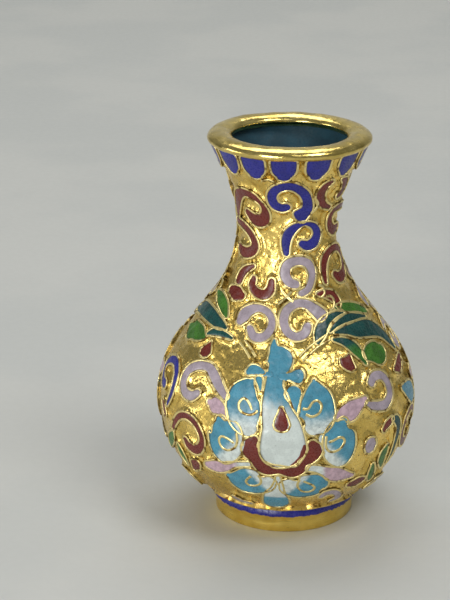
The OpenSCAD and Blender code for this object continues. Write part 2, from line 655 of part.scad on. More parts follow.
module belly_scroll_wires() {
    color(gold) {
        for (az = left_column_az) wire_loops(az, concat(belly_lilac_left, belly_red_left, belly_blue_left));
        wire_loops(right_column_az, concat(belly_lilac_right, belly_red_right));
    }
}

module belly_blue_enamel() {
    color(cobalt) for (az = left_column_az) pads(az, belly_blue_left);
}

module belly_lilac_enamel() {
    color(lilac) {
        for (az = left_column_az) pads(az, belly_lilac_left);
        pads(right_column_az, belly_lilac_right);
    }
}

module belly_red_enamel() {
    color(oxblood) {
        for (az = left_column_az) pads(az, belly_red_left);
        pads(right_column_az, belly_red_right);
    }
}

module low_scroll_wires() {
    color(gold) {
        for (az = lotus_az) wire_loops(az, low_lilac);
        for (az = foot_fill_az) wire_loops(az, foot_lilac);
    }
}

module low_lilac_enamel() {
    color(lilac) {
        for (az = lotus_az) pads(az, low_lilac);
        for (az = foot_fill_az) pads(az, foot_lilac);
    }
}

module lotus_wires(az) {
    color(gold) {
        wire_loops(az, [heart, seed, sepal, drop]);
        wire_loops(az, concat(upper_petals, side_petals, pink_petals, lower_petals));
    }
}

module lotus_curls(az) {
    color(gold) for (p = curls) wire_line(az, p);
}

// The heart's enamel leaves room for the seed and its wire
module lotus_heart(az) {
    color(white_enamel)
    difference() {
        pad(az, heart);
        pad(az, seed, trim = wire_w / 2 + seat_gap, low = -enamel_t, high = 2 * enamel_t);
    }
}

module lotus_seed(az) {
    color(oxblood) pad(az, seed);
}

module lotus_upper_petals(az) {
    color(turquoise) pads(az, upper_petals);
}

module lotus_side_petals(az) {
    color(turquoise) pads(az, side_petals);
}

module lotus_lower_petals(az) {
    color(turquoise) pads(az, lower_petals);
}

module lotus_sepal(az) {
    color(oxblood) pad(az, sepal);
}

module lotus_pink_petals(az) {
    color(pink) pads(az, pink_petals);
}

module lotus_drop(az) {
    color(turquoise) pad(az, drop);
}

body_shell();
rim_ring();
foot_ring();
interior_enamel();
underside_enamel();
foot_band_enamel();
foot_band_wire();
collar_wires();
collar_blue_enamel();
neck_scroll_wires();
neck_blue_enamel();
neck_red_enamel();
shoulder_scroll_wires();
shoulder_lilac_enamel();
shoulder_red_enamel();
leaf_wires();
leaf_green_enamel();
leaf_teal_enamel();
side_turquoise_enamel();
bud_wires();
bud_red_enamel();
belly_scroll_wires();
belly_blue_enamel();
belly_lilac_enamel();
belly_red_enamel();
low_scroll_wires();
low_lilac_enamel();
lotus_wires(front_az);  // front_lotus_wires
lotus_curls(front_az);  // front_lotus_curls
lotus_heart(front_az);  // front_lotus_heart
lotus_seed(front_az);  // front_lotus_seed
lotus_upper_petals(front_az);  // front_lotus_upper_petals
lotus_side_petals(front_az);  // front_lotus_side_petals
lotus_lower_petals(front_az);  // front_lotus_lower_petals
lotus_sepal(front_az);  // front_lotus_sepal
lotus_pink_petals(front_az);  // front_lotus_pink_petals
lotus_drop(front_az);  // front_lotus_drop
lotus_wires(right_az);  // right_lotus_wires
lotus_curls(right_az);  // right_lotus_curls
lotus_heart(right_az);  // right_lotus_heart
lotus_seed(right_az);  // right_lotus_seed
lotus_upper_petals(right_az);  // right_lotus_upper_petals
lotus_side_petals(right_az);  // right_lotus_side_petals
lotus_lower_petals(right_az);  // right_lotus_lower_petals
lotus_sepal(right_az);  // right_lotus_sepal
lotus_pink_petals(right_az);  // right_lotus_pink_petals
lotus_drop(right_az);  // right_lotus_drop
lotus_wires(left_az);  // left_lotus_wires
lotus_curls(left_az);  // left_lotus_curls
lotus_heart(left_az);  // left_lotus_heart
lotus_seed(left_az);  // left_lotus_seed
lotus_upper_petals(left_az);  // left_lotus_upper_petals
lotus_side_petals(left_az);  // left_lotus_side_petals
lotus_lower_petals(left_az);  // left_lotus_lower_petals
lotus_sepal(left_az);  // left_lotus_sepal
lotus_pink_petals(left_az);  // left_lotus_pink_petals
lotus_drop(left_az);  // left_lotus_drop
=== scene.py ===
"""Looks of a miniature cloisonne vase: gilt copper body, soldered wires, enamel cells,
heavy rim and foot ring. Lengths are millimetres until MM turns them into metres."""
import math

import bpy
import numpy as np
from mathutils import Matrix, Vector, kdtree


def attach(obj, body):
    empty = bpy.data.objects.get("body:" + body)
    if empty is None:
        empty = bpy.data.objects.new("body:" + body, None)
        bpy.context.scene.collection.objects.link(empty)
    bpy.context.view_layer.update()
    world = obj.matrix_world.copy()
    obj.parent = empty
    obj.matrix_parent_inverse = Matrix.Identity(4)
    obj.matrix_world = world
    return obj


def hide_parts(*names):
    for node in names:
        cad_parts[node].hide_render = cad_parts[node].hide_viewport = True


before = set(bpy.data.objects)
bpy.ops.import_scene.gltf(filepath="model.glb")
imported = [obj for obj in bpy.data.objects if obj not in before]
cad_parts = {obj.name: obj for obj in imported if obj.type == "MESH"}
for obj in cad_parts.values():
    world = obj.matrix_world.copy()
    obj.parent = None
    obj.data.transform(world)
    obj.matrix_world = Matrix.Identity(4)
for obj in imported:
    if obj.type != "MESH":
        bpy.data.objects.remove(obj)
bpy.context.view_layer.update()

MM = 0.001

# Outline of the wall over the enamel: belly arc, straight line, neck arc, straight flare.
# Centres are (radius, height).
BELLY_R = 20.5
BELLY_CENTRE = (4.1, 22.6)
NECK_R = 22.4
NECK_CENTRE = (32.0, 56.8)
FLARE = math.radians(24)
centre_dx = NECK_CENTRE[0] - BELLY_CENTRE[0]
centre_dz = NECK_CENTRE[1] - BELLY_CENTRE[1]
centre_gap = math.hypot(centre_dx, centre_dz)
JOIN = math.atan2(centre_dz, centre_dx) - math.acos((BELLY_R + NECK_R) / centre_gap)
BELLY_END = BELLY_R * JOIN
NECK_START = BELLY_END + math.sqrt(centre_gap ** 2 - (BELLY_R + NECK_R) ** 2)
FLARE_START = NECK_START + NECK_R * (JOIN + FLARE)
LIP_S = FLARE_START + 7.7

# Metal and enamel
SHELL_T = 0.9
ENAMEL_T = 0.7
LINING_T = 0.4
WIRE_W = 0.35
BASE_Z = 3.4
BASE_ENAMEL_T = 0.3
BASE_S = -27.0
# Inside this radius one flat face closes the base and the lining
CORE_R = 3.0
RIM_CREST_R = 12.85
RIM_Z = 73.75
RIM_HALF_W = 2.3
RIM_HALF_H = 1.25
FOOT_R = 13.2
FOOT_TOP_R = 13.9
FOOT_H = 3.5
FOOT_STRAIGHT_H = 1.5
FOOT_T = 1.2
BAND_H = 1.8

# Where the groups of motifs stand, in degrees round the vase from the front
LOTUS_AZ = (0, 120, 240)
LEFT_COLUMN_AZ = (-55, 185)
RIGHT_COLUMN_AZ = (55,)
NECK_SHIFT = 5
FOOT_FILL_AZ = (-62, 62, 178)
FRONT_TONGUE_AZ = (-48.6, -25.4, -1.8, 23.9, 51.5)
BACK_TONGUES = 9

# Cells: mm between their stations, reach and stations of their rounded ends, least half width
STEP = 0.3
CAP_DEPTH = 0.75
CAP_TURNS = np.radians([[78], [52], [26]])
LEAST_W = 0.03
# Spread of every cell beyond the half widths of its drawing
CELL_SPREAD = 0.22
# Drift of the drawing, mm at the front and more behind, and where it starts under the lip
NEAR_DRIFT = 0.03
FAR_DRIFT = 0.09
STEADY_S = 8

# The drawing. A cell is a band: control points of [across, up, half width] along its
# middle, across from its meridian and up along the wall from the widest line.

# Collar
tongue = [[0, 55.1, 2.35], [0, 53.4, 2.2], [0, 52.4, 1.85], [0, 51.7, 1.2]]

# Neck, centre: two cobalt scrolls that hook into each other
neck_blue = [
    [[2.4, 42.9, 1.4], [3.7, 44.2, 1.1], [3.9, 46, 0.9], [3.2, 48, 0.9], [1.5, 49.4, 0.85],
        [-0.4, 49.5, 0.85], [-2, 48.6, 0.85], [-2.7, 47, 0.85], [-2.2, 45.4, 0.85],
        [-0.9, 44.7, 0.8], [0, 44.9, 0.7]],
    [[0.1, 35.8, 0.5], [0, 37.5, 0.75], [0.4, 39.3, 0.9], [1.6, 40.7, 0.7], [3.3, 41.3, 0.3],
        [5, 40.8, 0.55], [5.9, 39.3, 0.8], [5.4, 37.7, 1.0], [4.1, 37.1, 0.9], [3, 37.5, 0.6]]
]

# Neck, left column
neck_red_left = [
    [[-3.2, 41.6, 0.8], [-2.6, 43.5, 1.1], [-1.2, 45.6, 1.1], [0.8, 46.8, 0.8], [3, 46.5, 0.75],
        [4.5, 45.1, 0.4], [5, 43.5, 0.7], [4.3, 41.9, 1.1], [2.5, 41.5, 1.1], [0.8, 42.5, 0.7]],
    [[-8, 38.2, 0.4], [-5, 39.5, 0.45], [-2, 39.7, 0.6], [0.5, 38.9, 0.65], [2, 37.2, 0.7],
        [2, 35.7, 0.9], [0.6, 34.8, 0.95], [-1.1, 34.8, 0.9], [-2.2, 35.4, 0.5]]
]
shoulder_red_left = [
    [[0, 29.3, 0.9], [0.2, 30.3, 0.9], [1, 31.5, 0.7], [2.6, 32.6, 0.3]],
    [[-1.2, 27.2, 0.7], [-0.2, 27.1, 1.1], [1, 26.9, 1.2], [2.1, 26.8, 0.7]]
]

# Neck, right column
neck_red_right = [
    [[-2.2, 49.8, 0.5], [-3.1, 49.1, 0.8], [-3.4, 47.6, 0.85], [-2.9, 46, 0.75], [-1.8, 44.7, 0.55],
        [-0.3, 43.9, 0.35]],
    [[0.8, 49.9, 0.3], [1.9, 49.2, 0.75], [2.5, 47.7, 0.85], [2.2, 46.5, 0.85], [1.5, 46, 0.6]],
    [[8.5, 42.2, 0.4], [6, 42.9, 0.5], [3.5, 43.2, 0.55], [1.5, 42.9, 0.5], [0.6, 41.7, 0.6],
        [0.8, 40.1, 0.8], [2, 39, 0.9], [3.5, 39.2, 0.7]],
    [[-1.6, 29.8, 0.35], [-1.4, 32, 0.6], [-0.8, 34, 0.75], [0.6, 35.2, 0.7], [2.4, 35.4, 0.6],
        [4.2, 34.6, 0.6], [5.2, 33, 0.55], [5.1, 31.3, 0.75], [3.8, 30, 0.95], [2.2, 29.9, 0.9],
        [1.2, 30.6, 0.6]]
]
shoulder_red_right = [
    [[-4, 27.9, 0.3], [-2.8, 27.8, 0.6], [-1.2, 27.1, 1], [-0.4, 25.9, 0.7], [-0.8, 25, 0.3]]
]

# Shoulder, centre: three lilac scrolls over the lotus and a red crescent beside them
shoulder_lilac = [
    [[3.1, 28.4, 0.6], [4.2, 29, 0.65], [4.9, 30.4, 0.65], [5.1, 32, 0.7], [4.2, 33.8, 0.75],
        [2.2, 34.4, 0.75], [0.4, 33.7, 0.85], [-0.1, 32, 0.9], [0.7, 30.6, 0.85],
        [1.9, 30.1, 0.75]],
    [[7.2, 23.9, 1.1], [6, 25, 0.95], [4.2, 26.3, 0.75], [2.2, 26.5, 0.75], [0.5, 25.3, 0.8],
        [0, 23.3, 0.8], [0.7, 21.4, 0.8], [2.3, 20.4, 0.75], [3.9, 20.9, 0.85], [4.4, 22.2, 0.75]],
    [[-8.7, 22.2, 0.7], [-7.9, 23.4, 1.1], [-6.7, 24.6, 0.9], [-5, 25.3, 0.7], [-3.2, 24.9, 0.7],
        [-2.2, 23.3, 0.65], [-2.5, 21.4, 0.7], [-3.8, 20, 0.75], [-5.5, 19.9, 0.85],
        [-6.3, 21.1, 0.75]]
]
shoulder_crescent = [
    [[-6.1, 30.4, 0.5], [-6.4, 29.2, 0.75], [-5.3, 28.1, 0.8], [-3.7, 28, 0.8], [-2.7, 29, 0.75],
        [-2.5, 30.5, 0.5]]
]

# Shoulder leaves
leaf_green_left = [
    [[-4.5, 25.2, 0.3], [-2.5, 24.9, 0.9], [-0.2, 24.1, 1], [1.3, 23.1, 0.7], [2.4, 22.3, 0.25]],
    [[-7.3, 16.7, 0.7], [-5.8, 16.6, 1.9], [-4, 17, 1.7], [-2.2, 17.1, 1.5], [-0.9, 17, 1],
        [0, 17, 0.4]]
]
leaf_teal_left = [
    [[-11.5, 19.2, 0.6], [-8, 20.7, 1.1], [-5, 21.2, 1.3], [-2, 21.2, 1.3], [0.5, 20.8, 1.1],
        [2.4, 20.4, 0.8], [3.9, 20.2, 0.25]],
    [[0.5, 17.9, 0.3], [1.5, 18.6, 0.65], [3, 18.9, 0.6], [4.8, 18.9, 0.45], [6.4, 18.7, 0.2]]
]
leaf_green_right = [
    [[-2.6, 24.8, 0.3], [-0.6, 24.5, 0.8], [1.6, 23.8, 0.9], [3.8, 22.7, 0.8], [5.6, 21.7, 0.5]],
    [[-1.3, 14.6, 1], [0, 14.6, 1.8], [1.4, 14.3, 2.2], [2.8, 14.2, 1.9], [3.6, 14.3, 1.1]]
]
leaf_teal_right = [
    [[-9.9, 19, 0.35], [-8.7, 20.4, 0.8], [-7.4, 21.7, 0.9], [-5.8, 22.8, 0.8], [-3.8, 23.5, 0.6],
        [-1.8, 23.7, 0.3]],
    [[-6.4, 20.8, 0.2], [-4.6, 21.8, 0.5], [-2.4, 22.3, 0.7], [0, 22.2, 0.7], [2.2, 21.7, 0.5],
        [4, 21, 0.2]],
    [[-5.4, 20.3, 0.2], [-3, 20.2, 0.8], [-0.6, 19.6, 1.4], [2, 19.2, 1.6], [4.4, 18.4, 1.5],
        [6.4, 17, 1.2], [8, 14.9, 1], [9, 12.8, 0.5]],
    [[-6.4, 19, 0.3], [-5, 18.4, 0.7], [-3.8, 17.4, 1.05], [-3, 16, 1.1], [-2.7, 14.6, 0.7],
        [-2.6, 13.4, 0.3]]
]
side_turquoise = [
    [[5.6, 5.8, 0.4], [7, 5.2, 1.1], [9, 4.2, 1.8], [11, 3, 1.9], [12.4, 2.2, 1]]
]

# Red buds under the leaves
bud_left = [[[2.5, 16.6, 0.2], [2.5, 15.8, 0.8], [2.5, 14.9, 1.35], [2.5, 14.5, 1.2]]]
bud_right = [[[-5.2, 15.5, 0.2], [-5.8, 14.8, 0.8], [-6.4, 14.2, 1.45], [-6.9, 13.8, 1.2]]]

# Belly, left column
belly_lilac_left = [
    [[11.6, 7.9, 0.5], [9.6, 9.4, 0.8], [7.6, 11.1, 0.9], [5.6, 12.3, 0.8], [3.6, 12.2, 0.8],
        [1.8, 11.3, 0.9], [0.8, 9.7, 0.9], [0.9, 7.8, 0.9], [2.2, 6.3, 0.9], [4.1, 6.1, 0.85],
        [5.4, 7, 0.7]]
]
belly_red_left = [
    [[-0.6, -1.6, 0.4], [0.2, -0.2, 0.5], [1.9, 1.6, 0.5], [4.4, 2.2, 0.5], [6.7, 1.2, 0.5],
        [8, -1, 0.5], [7.4, -3, 0.7], [5.8, -4.1, 0.9], [4.2, -3.7, 0.9], [3.5, -2.8, 0.6]],
    [[5.3, -7.4, 0.7], [4.6, -8, 1.1], [3.9, -8.8, 0.7], [3.4, -9.5, 0.3]],
    [[-5.6, 1.7, 0.5], [-4.7, 0.8, 0.6], [-3.9, -0.2, 0.4]]
]
belly_blue_left = [
    [[-3.2, 2.2, 0.4], [-2.2, 4.2, 0.55], [-1.9, 6.5, 0.65], [-2.4, 8.7, 0.75], [-4.2, 10.1, 0.75],
        [-6.3, 9.9, 0.65], [-8.2, 8.7, 0.6], [-8.7, 6.9, 0.6], [-7.4, 5.2, 0.95], [-6, 5.1, 0.85]]
]
belly_green_left = [
    [[-0.9, -2.8, 0.3], [-1.6, -3.9, 0.9], [-2.6, -5.1, 1], [-3.4, -6.4, 0.6]],
    [[0.4, -5, 0.3], [0.8, -6.2, 0.7], [1.3, -7.6, 0.7], [1.7, -8.8, 0.3]]
]

# Belly, right column
belly_lilac_right = [
    [[-5.6, 6.1, 0.4], [-4.6, 5.5, 0.7], [-3, 5, 0.8], [-1, 4.9, 0.9], [0.6, 6.3, 0.85],
        [0.8, 8.5, 0.85], [-0.2, 10.2, 0.85], [-2.1, 10.5, 0.85], [-3.4, 9.6, 0.75]],
    [[-5.5, -1.2, 1.1], [-5.5, -2, 1.35], [-5.5, -2.8, 1.1]],
    [[9.8, 16.6, 0.4], [11.4, 17.4, 0.75], [13.4, 17, 0.85], [14.6, 15.2, 0.9], [14.2, 13.2, 0.9],
        [12.6, 12.2, 0.85], [11.2, 12.8, 0.75], [11.1, 14.2, 0.6]]
]
belly_red_right = [
    [[-2, 0.3, 0.5], [-1.4, 0.8, 0.7], [-0.5, 1.2, 0.7], [0.2, 1.5, 0.6]],
    [[-7.2, -10.6, 0.7], [-6.2, -10.6, 1.1], [-5.2, -10.5, 1.1], [-4.6, -10.5, 0.8]],
    [[5, 9.6, 0.4], [6.6, 9.6, 1], [8.2, 10.2, 0.9], [9.2, 10.6, 0.6]],
    [[12.3, -1.8, 0.4], [11.4, -0.6, 0.5], [9.8, 0.5, 0.55], [7.8, 0.5, 0.5], [5.9, -0.7, 0.5],
        [4.9, -2.8, 0.55], [5.4, -4.8, 0.7], [7, -5.7, 0.9], [8.6, -5.1, 0.9], [9.1, -4, 0.6]]
]
belly_teal_right = [
    [[1, 1.5, 0.5], [1.9, 1, 0.75], [2.7, -0.2, 0.75], [2.7, -2, 0.7], [2.3, -4, 0.6],
        [1.9, -6, 0.45], [1.4, -8, 0.2]]
]
belly_green_right = [
    [[-0.6, -3.8, 0.4], [-1.1, -4.8, 0.95], [-1.3, -6.2, 0.95], [-0.8, -7.6, 0.6],
        [-0.4, -8.4, 0.3]],
    [[-3.6, -6.9, 0.25], [-3.2, -8.2, 0.6], [-2.6, -9.8, 0.7], [-1.9, -11.2, 0.4]]
]

# Small lilac scrolls under the lotus, and a third kind that fills the foot of each column
low_lilac = [
    [[7.8, -13.2, 0.5], [8.7, -12.3, 0.65], [10.2, -12.2, 0.75], [11.2, -13.4, 0.75],
        [11.1, -15, 0.7], [9.9, -15.9, 0.5]],
    [[-9, -15.2, 0.4], [-8, -16.2, 0.6], [-6.8, -16.8, 0.6], [-5.6, -16.8, 0.4]]
]
foot_lilac = [
    [[-2.6, -14.6, 0.5], [-1.6, -13.4, 0.65], [0, -13, 0.7], [1.4, -13.8, 0.7], [1.6, -15.4, 0.6],
        [0.6, -16.2, 0.45]]
]

# Lotus
heart = [
    [-1.6, 19.6, 0.2], [-1.6, 18.4, 0.7], [-1, 17.3, 1.7], [-0.5, 16.2, 2.3], [-0.5, 14.9, 2],
    [-1, 13.4, 1.5], [-1.3, 11, 1.55], [-1, 8.6, 2.3], [-0.6, 6.2, 2.8], [0.2, 3.5, 3.5],
    [0.5, 1, 4], [0.6, -1, 4.15], [0.7, -2.5, 3.6], [0.9, -3.5, 2.4]
]
seed = [[0.15, 7, 0.2], [0.2, 6, 0.65], [0.2, 4.9, 1.1], [0.25, 4, 1.3], [0.25, 3.7, 1.2]]
upper_petals = [
    [[-6.1, 13.2, 0.5], [-5.3, 13.7, 0.9], [-4.4, 13.8, 0.7], [-3.5, 13.5, 0.4]],
    [[1.5, 12.9, 0.6], [2.4, 12.9, 1.1], [3.2, 12.9, 1.3]],
    [[-4.1, 12, 0.6], [-3.9, 11.2, 0.4], [-3.8, 10.2, 0.15]],
    [[2.4, 10.3, 1.2], [2.3, 9.6, 1.4], [2.6, 8.4, 0.8], [2.8, 7.4, 0.5], [3, 6.6, 0.2]],
    [[-5.3, 11.7, 0.25], [-6, 10.8, 1.4], [-6.8, 9, 2.7], [-7, 7, 3.2], [-6.8, 5.2, 3.1],
        [-6.2, 3.6, 2.4], [-5.5, 2.5, 1.4]],
    [[5.9, 11.9, 0.25], [6.1, 10.6, 1.5], [6.5, 8.6, 2.8], [6.7, 6.4, 3.3], [6.7, 5, 3.2],
        [6.3, 3.9, 2.5], [5.6, 3, 1.3]]
]
side_petals = [
    [[-11.3, 3.6, 1], [-11, 2.8, 2.2], [-10.4, 1.6, 3.2], [-10.4, 0, 3.4], [-10.3, -1.4, 3.2],
        [-9.6, -2.6, 2.9], [-9, -3.3, 2.4]],
    [[11.8, 3.8, 0.9], [11.3, 3, 2.1], [11.1, 1.6, 3], [11.2, 0, 3.2], [11.1, -1.4, 3.1],
        [10.5, -2.7, 2.9], [9.9, -3.4, 2.3]]
]
sepal = [
    [-4.7, 0.9, 0.7], [-5.4, -0.2, 1.3], [-5.3, -1.6, 1.5], [-4.5, -2.9, 1], [-3.6, -4.2, 1.1],
    [-2.2, -5, 1.2], [0, -5, 0.8], [2.3, -5.5, 1.1], [3.8, -4.9, 0.9], [4.8, -3.5, 0.8],
    [6, -2, 1.2], [6.4, -0.8, 1.3], [5.9, 0.2, 0.8]
]
pink_petals = [
    [[-13.8, 6.2, 0.6], [-13, 6, 1.4], [-12, 5.8, 1.3], [-11.1, 5.2, 0.9], [-10.4, 4.4, 0.4]],
    [[10.7, 4.9, 0.5], [11.8, 5.5, 1.2], [13.3, 5.6, 1.9], [14.9, 6.3, 1.3], [16.3, 6.9, 0.7]],
    [[-5.8, -4.3, 0.4], [-7.4, -4.6, 0.4], [-9, -5.1, 0.55], [-10.6, -6, 1], [-12.4, -6.4, 1.3],
        [-14.2, -6.6, 0.8]],
    [[5.6, -4.7, 0.6], [7, -5, 0.7], [8.6, -5.8, 1], [10, -6.7, 1.6], [11.4, -7.3, 1.5],
        [13, -7.8, 0.9], [13.9, -8, 0.5]]
]
lower_petals = [
    [[-9.7, -7.8, 0.5], [-8.4, -8.2, 2.1], [-6.5, -8.5, 3.2], [-4.4, -8.9, 3], [-2.8, -8.7, 2.1],
        [-1.7, -7.8, 1.2]],
    [[1.2, -8.2, 1.3], [2, -9.2, 2.2], [3.5, -9.8, 2.8], [5.3, -9.4, 3.1], [7, -8.9, 2.6],
        [8.3, -9, 1.3]]
]
drop = [
    [-0.3, -6.8, 0.3], [-0.3, -8, 0.55], [-0.5, -10, 1.1], [-0.9, -12, 1.9], [-0.7, -14, 2.3],
    [-0.7, -15.6, 2.2], [-0.7, -16.5, 1.6]
]

# Open wires that curl inside the petals, as [across, up]
curls = [
    [[-4.2, 6.4], [-5, 5.7], [-6.2, 5.5], [-7.5, 6], [-7.8, 7.2], [-7.1, 8.2], [-6.3, 8.1],
        [-5.6, 7.2], [-5.3, 6.4]],
    [[4, 7], [5, 7], [5.8, 8.1], [6.7, 8.3], [7.5, 7.4], [7.1, 6.1], [5.8, 5.5], [4.6, 6]],
    [[-8.1, 1.8], [-7.9, 0.2], [-8.4, -1.2], [-9.8, -2], [-11, -1.6], [-11.6, -0.3], [-11, 0.6],
        [-9.6, 0.3], [-8.6, -0.3]],
    [[8.5, 1.6], [8.4, -0.2], [9, -1.3], [10, -1.6], [11.3, -1.1], [12.1, 0.1], [11.7, 0.9],
        [10.8, 1], [9.8, 0.6], [9, 0.4]],
    [[-4, -6.6], [-3.5, -7.5], [-3.6, -8.7], [-4.5, -9.4], [-5.7, -9.5], [-6.3, -8.7], [-6, -7.8],
        [-5.3, -7]],
    [[3.7, -7.4], [3.3, -8.4], [3.4, -9.6], [4.2, -10.7], [5.5, -10.9], [6.4, -10.1], [6.2, -9.2],
        [5.3, -8.4], [4.4, -7.8]]
]


def wall_tilt(s):
    """Tilt of the wall's outward normal above the horizontal at arc length s."""
    neck = np.clip(JOIN - (s - NECK_START) / NECK_R, -FLARE, JOIN)
    return np.where(s < BELLY_END, s / BELLY_R, neck)


def on_profile(s, h):
    """Radius and height of the wall at arc length s, h above the copper."""
    s = np.asarray(s, float)
    tilt = wall_tilt(s)
    cos, sin = np.cos(tilt), np.sin(tilt)
    line = np.where(s < NECK_START, np.maximum(0, s - BELLY_END), 0)
    flare = np.maximum(0, s - FLARE_START)
    low = s < NECK_START
    r = np.where(low, BELLY_CENTRE[0] + BELLY_R * cos - line * sin,
                 NECK_CENTRE[0] - NECK_R * cos - flare * sin)
    z = np.where(low, BELLY_CENTRE[1] + BELLY_R * sin + line * cos,
                 NECK_CENTRE[1] - NECK_R * sin + flare * cos)
    return r + (h - ENAMEL_T) * cos, z + (h - ENAMEL_T) * sin


def sway(turn, s):
    """Drift of the hand-bent drawing, mm across and up, larger away from the front and
    none at the lip."""
    size = (NEAR_DRIFT + FAR_DRIFT * (1 - np.cos(turn))) * np.clip((LIP_S - s) / STEADY_S, 0, 1)
    return size * np.sin(5 * turn + 0.45 * s), size * np.sin(4 * turn - 0.5 * s + 1.3)


def on_wall(az, across, up, h):
    """Points in metres: across and up (mm) from the meridian at az, h above the copper."""
    r0 = on_profile(up, ENAMEL_T)[0]
    turn = math.radians(az) + across / r0
    drift, lift = sway(turn, up)
    turn = turn + drift / r0
    r, z = on_profile(up + lift, h)
    return np.stack([r * np.sin(turn), -r * np.cos(turn), z], axis=-1) * MM


def round_axis(r, z, turn):
    """Points in metres at radius r and height z, turned from the front."""
    r, z, turn = np.broadcast_arrays(r, z, turn)
    return np.stack([r * np.sin(turn), -r * np.cos(turn), z], axis=-1) * MM


def waves(points, size, seed, count=24):
    """Smooth random value about -1 to 1 at points in metres, size mm between its humps."""
    rng = np.random.default_rng(seed)
    heading = rng.normal(size=(count, 3))
    heading /= np.linalg.norm(heading, axis=1)[:, None]
    heading *= 2 * math.pi / (size * MM) * rng.uniform(0.6, 1.4, size=(count, 1))
    total = np.zeros(points.shape[:-1])
    for k, phase in zip(heading, rng.uniform(0, 2 * math.pi, count)):
        total += np.sin(points @ k + phase)
    return total / math.sqrt(count)


def relief(points, *layers):
    """Uneven height in mm: the sum of layers of waves, each (depth, size, seed)."""
    return sum(depth * waves(points, size, seed) for depth, size, seed in layers)


def smooth(value, lo, hi):
    """0 below lo, 1 above hi, smooth between."""
    t = np.clip((value - lo) / (hi - lo), 0, 1)
    return t * t * (3 - 2 * t)


# ---- Bands and their outlines

def spline(cell, step=STEP):
    """Samples along a smooth curve through a cell's control points, and its headings."""
    p = np.array(cell, float)
    ends = np.vstack([p[0], p, p[-1]])
    length = np.linalg.norm(np.diff(p[:, :2], axis=0), axis=1).sum()
    t = np.linspace(0, len(p) - 1, max(6, math.ceil(length / step)) + 1)
    i = np.minimum(t.astype(int), len(p) - 2)
    u = (t - i)[:, None]
    a, b, c, d = ends[i], ends[i + 1], ends[i + 2], ends[i + 3]
    q = 0.5 * (2 * b + (c - a) * u + (2 * a - 5 * b + 4 * c - d) * u ** 2
               + (3 * b - a - 3 * c + d) * u ** 3)
    heading = np.gradient(q[:, :2], axis=0)
    return q, heading / np.linalg.norm(heading, axis=1)[:, None]


def two_sides(cell, trim):
    """Left and right outline of a band grown by trim, with rounded ends."""
    trim = trim + CELL_SPREAD
    q, heading = spline(cell)
    side = np.stack([-heading[:, 1], heading[:, 0]], axis=1)
    half = np.maximum(q[:, 2] + trim, LEAST_W)
    caps = []
    for k, sign in ((0, -1), (-1, 1)):
        reach = max(LEAST_W, min(q[k, 2], CAP_DEPTH) + trim)
        centre = q[k, :2] + sign * reach * np.sin(CAP_TURNS) * heading[k]
        out = half[k] * np.cos(CAP_TURNS) * side[k]
        caps.append((centre + out, centre - out))
    out = half[:, None] * side
    left = np.vstack([caps[0][0], q[:, :2] + out, caps[1][0][::-1]])
    right = np.vstack([caps[0][1], q[:, :2] - out, caps[1][1][::-1]])
    return left, right


# ---- Mesh building

# Edges that turn more than this stay sharp
SHARP_TURN = math.radians(50)


class Shape:
    """Collects closed sweeps, then becomes one piece of the vase."""

    def __init__(self):
        self.points, self.faces, self.fade, self.rim = [], [], [], []
        self.count = 0

    def sweep(self, rings, closed=False, fade=None, rim=None):
        """Closed solid through rings of points, an array of (rings, points, xyz)."""
        n, m = rings.shape[:2]
        ring = np.arange(n if closed else n - 1)[:, None]
        here = np.arange(m)[None]
        after, beside = (ring + 1) % n, (here + 1) % m
        quad = (ring * m + here, after * m + here, after * m + beside, ring * m + beside)
        quads = np.stack(quad, axis=-1).reshape(-1, 4)
        flat = rings.reshape(-1, 3)
        a, b, c, d = (flat[quads[:, v]] for v in range(4))
        volume = np.einsum("ij,ij->i", a, np.cross(b, c) + np.cross(c, d)).sum()
        faces = quads.tolist()
        if not closed:
            faces += [list(range(m)), list(range(n * m - 1, (n - 1) * m - 1, -1))]
        if volume < 0:
            faces = [f[::-1] for f in faces]
        self.points.append(flat)
        self.faces += [[v + self.count for v in f] for f in faces]
        blank = np.zeros((n, m))
        self.fade.append((blank if fade is None else fade).reshape(-1))
        self.rim.append((blank if rim is None else rim).reshape(-1))
        self.count += n * m

    def piece(self, name, slot, *nodes):
        """The mesh as one object that rides on the body and stands for its CAD nodes."""
        mesh = bpy.data.meshes.new(name)
        mesh.from_pydata(np.vstack(self.points).tolist(), [], self.faces)
        for label, parts in (("fade", self.fade), ("rim", self.rim)):
            data = mesh.attributes.new(label, "FLOAT", "POINT").data
            data.foreach_set("value", np.concatenate(parts).astype(np.float32))
        mesh.shade_smooth()
        mesh.set_sharp_from_angle(angle=SHARP_TURN)
        mesh.materials.append(MATERIALS[slot])
        obj = bpy.data.objects.new(name, mesh)
        bpy.context.scene.collection.objects.link(obj)
        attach(obj, "root")
        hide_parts(*nodes)


# Section of a wire as (offset across, height above the copper, painted shade), rounded on top
WIRE_SECTION = (
    (-0.5, -0.05, 1), (-0.5, 0.52, 1), (-0.62, 0.67, 0.6), (-0.48, 0.74, 0), (0, 0.765, 0),
    (0.48, 0.74, 0), (0.62, 0.67, 0.6), (0.5, 0.52, 1), (0.5, -0.05, 1),
)
# Share of painted shade at each point of the section: full at the wire's foot, none on its top
WIRE_SIDE_SHADE = np.array([part[2] for part in WIRE_SECTION], float)
# Open wires: their width, the mm between their stations, and their height over the loops
CURL_W = 0.4
CURL_STEP = 0.25
CURL_RISE = 0.02
# Enamel: mm between its rows, its reach under the wire's side, its bed over the copper,
# its drop under the wires, its dip beside them, and its ripple as a share of the radius
ENAMEL_STEP = 0.35
TUCK = 0.03
BED = 0.02
SETBACK = 0.02
DIP = 0.1
RIPPLE = 0.0012


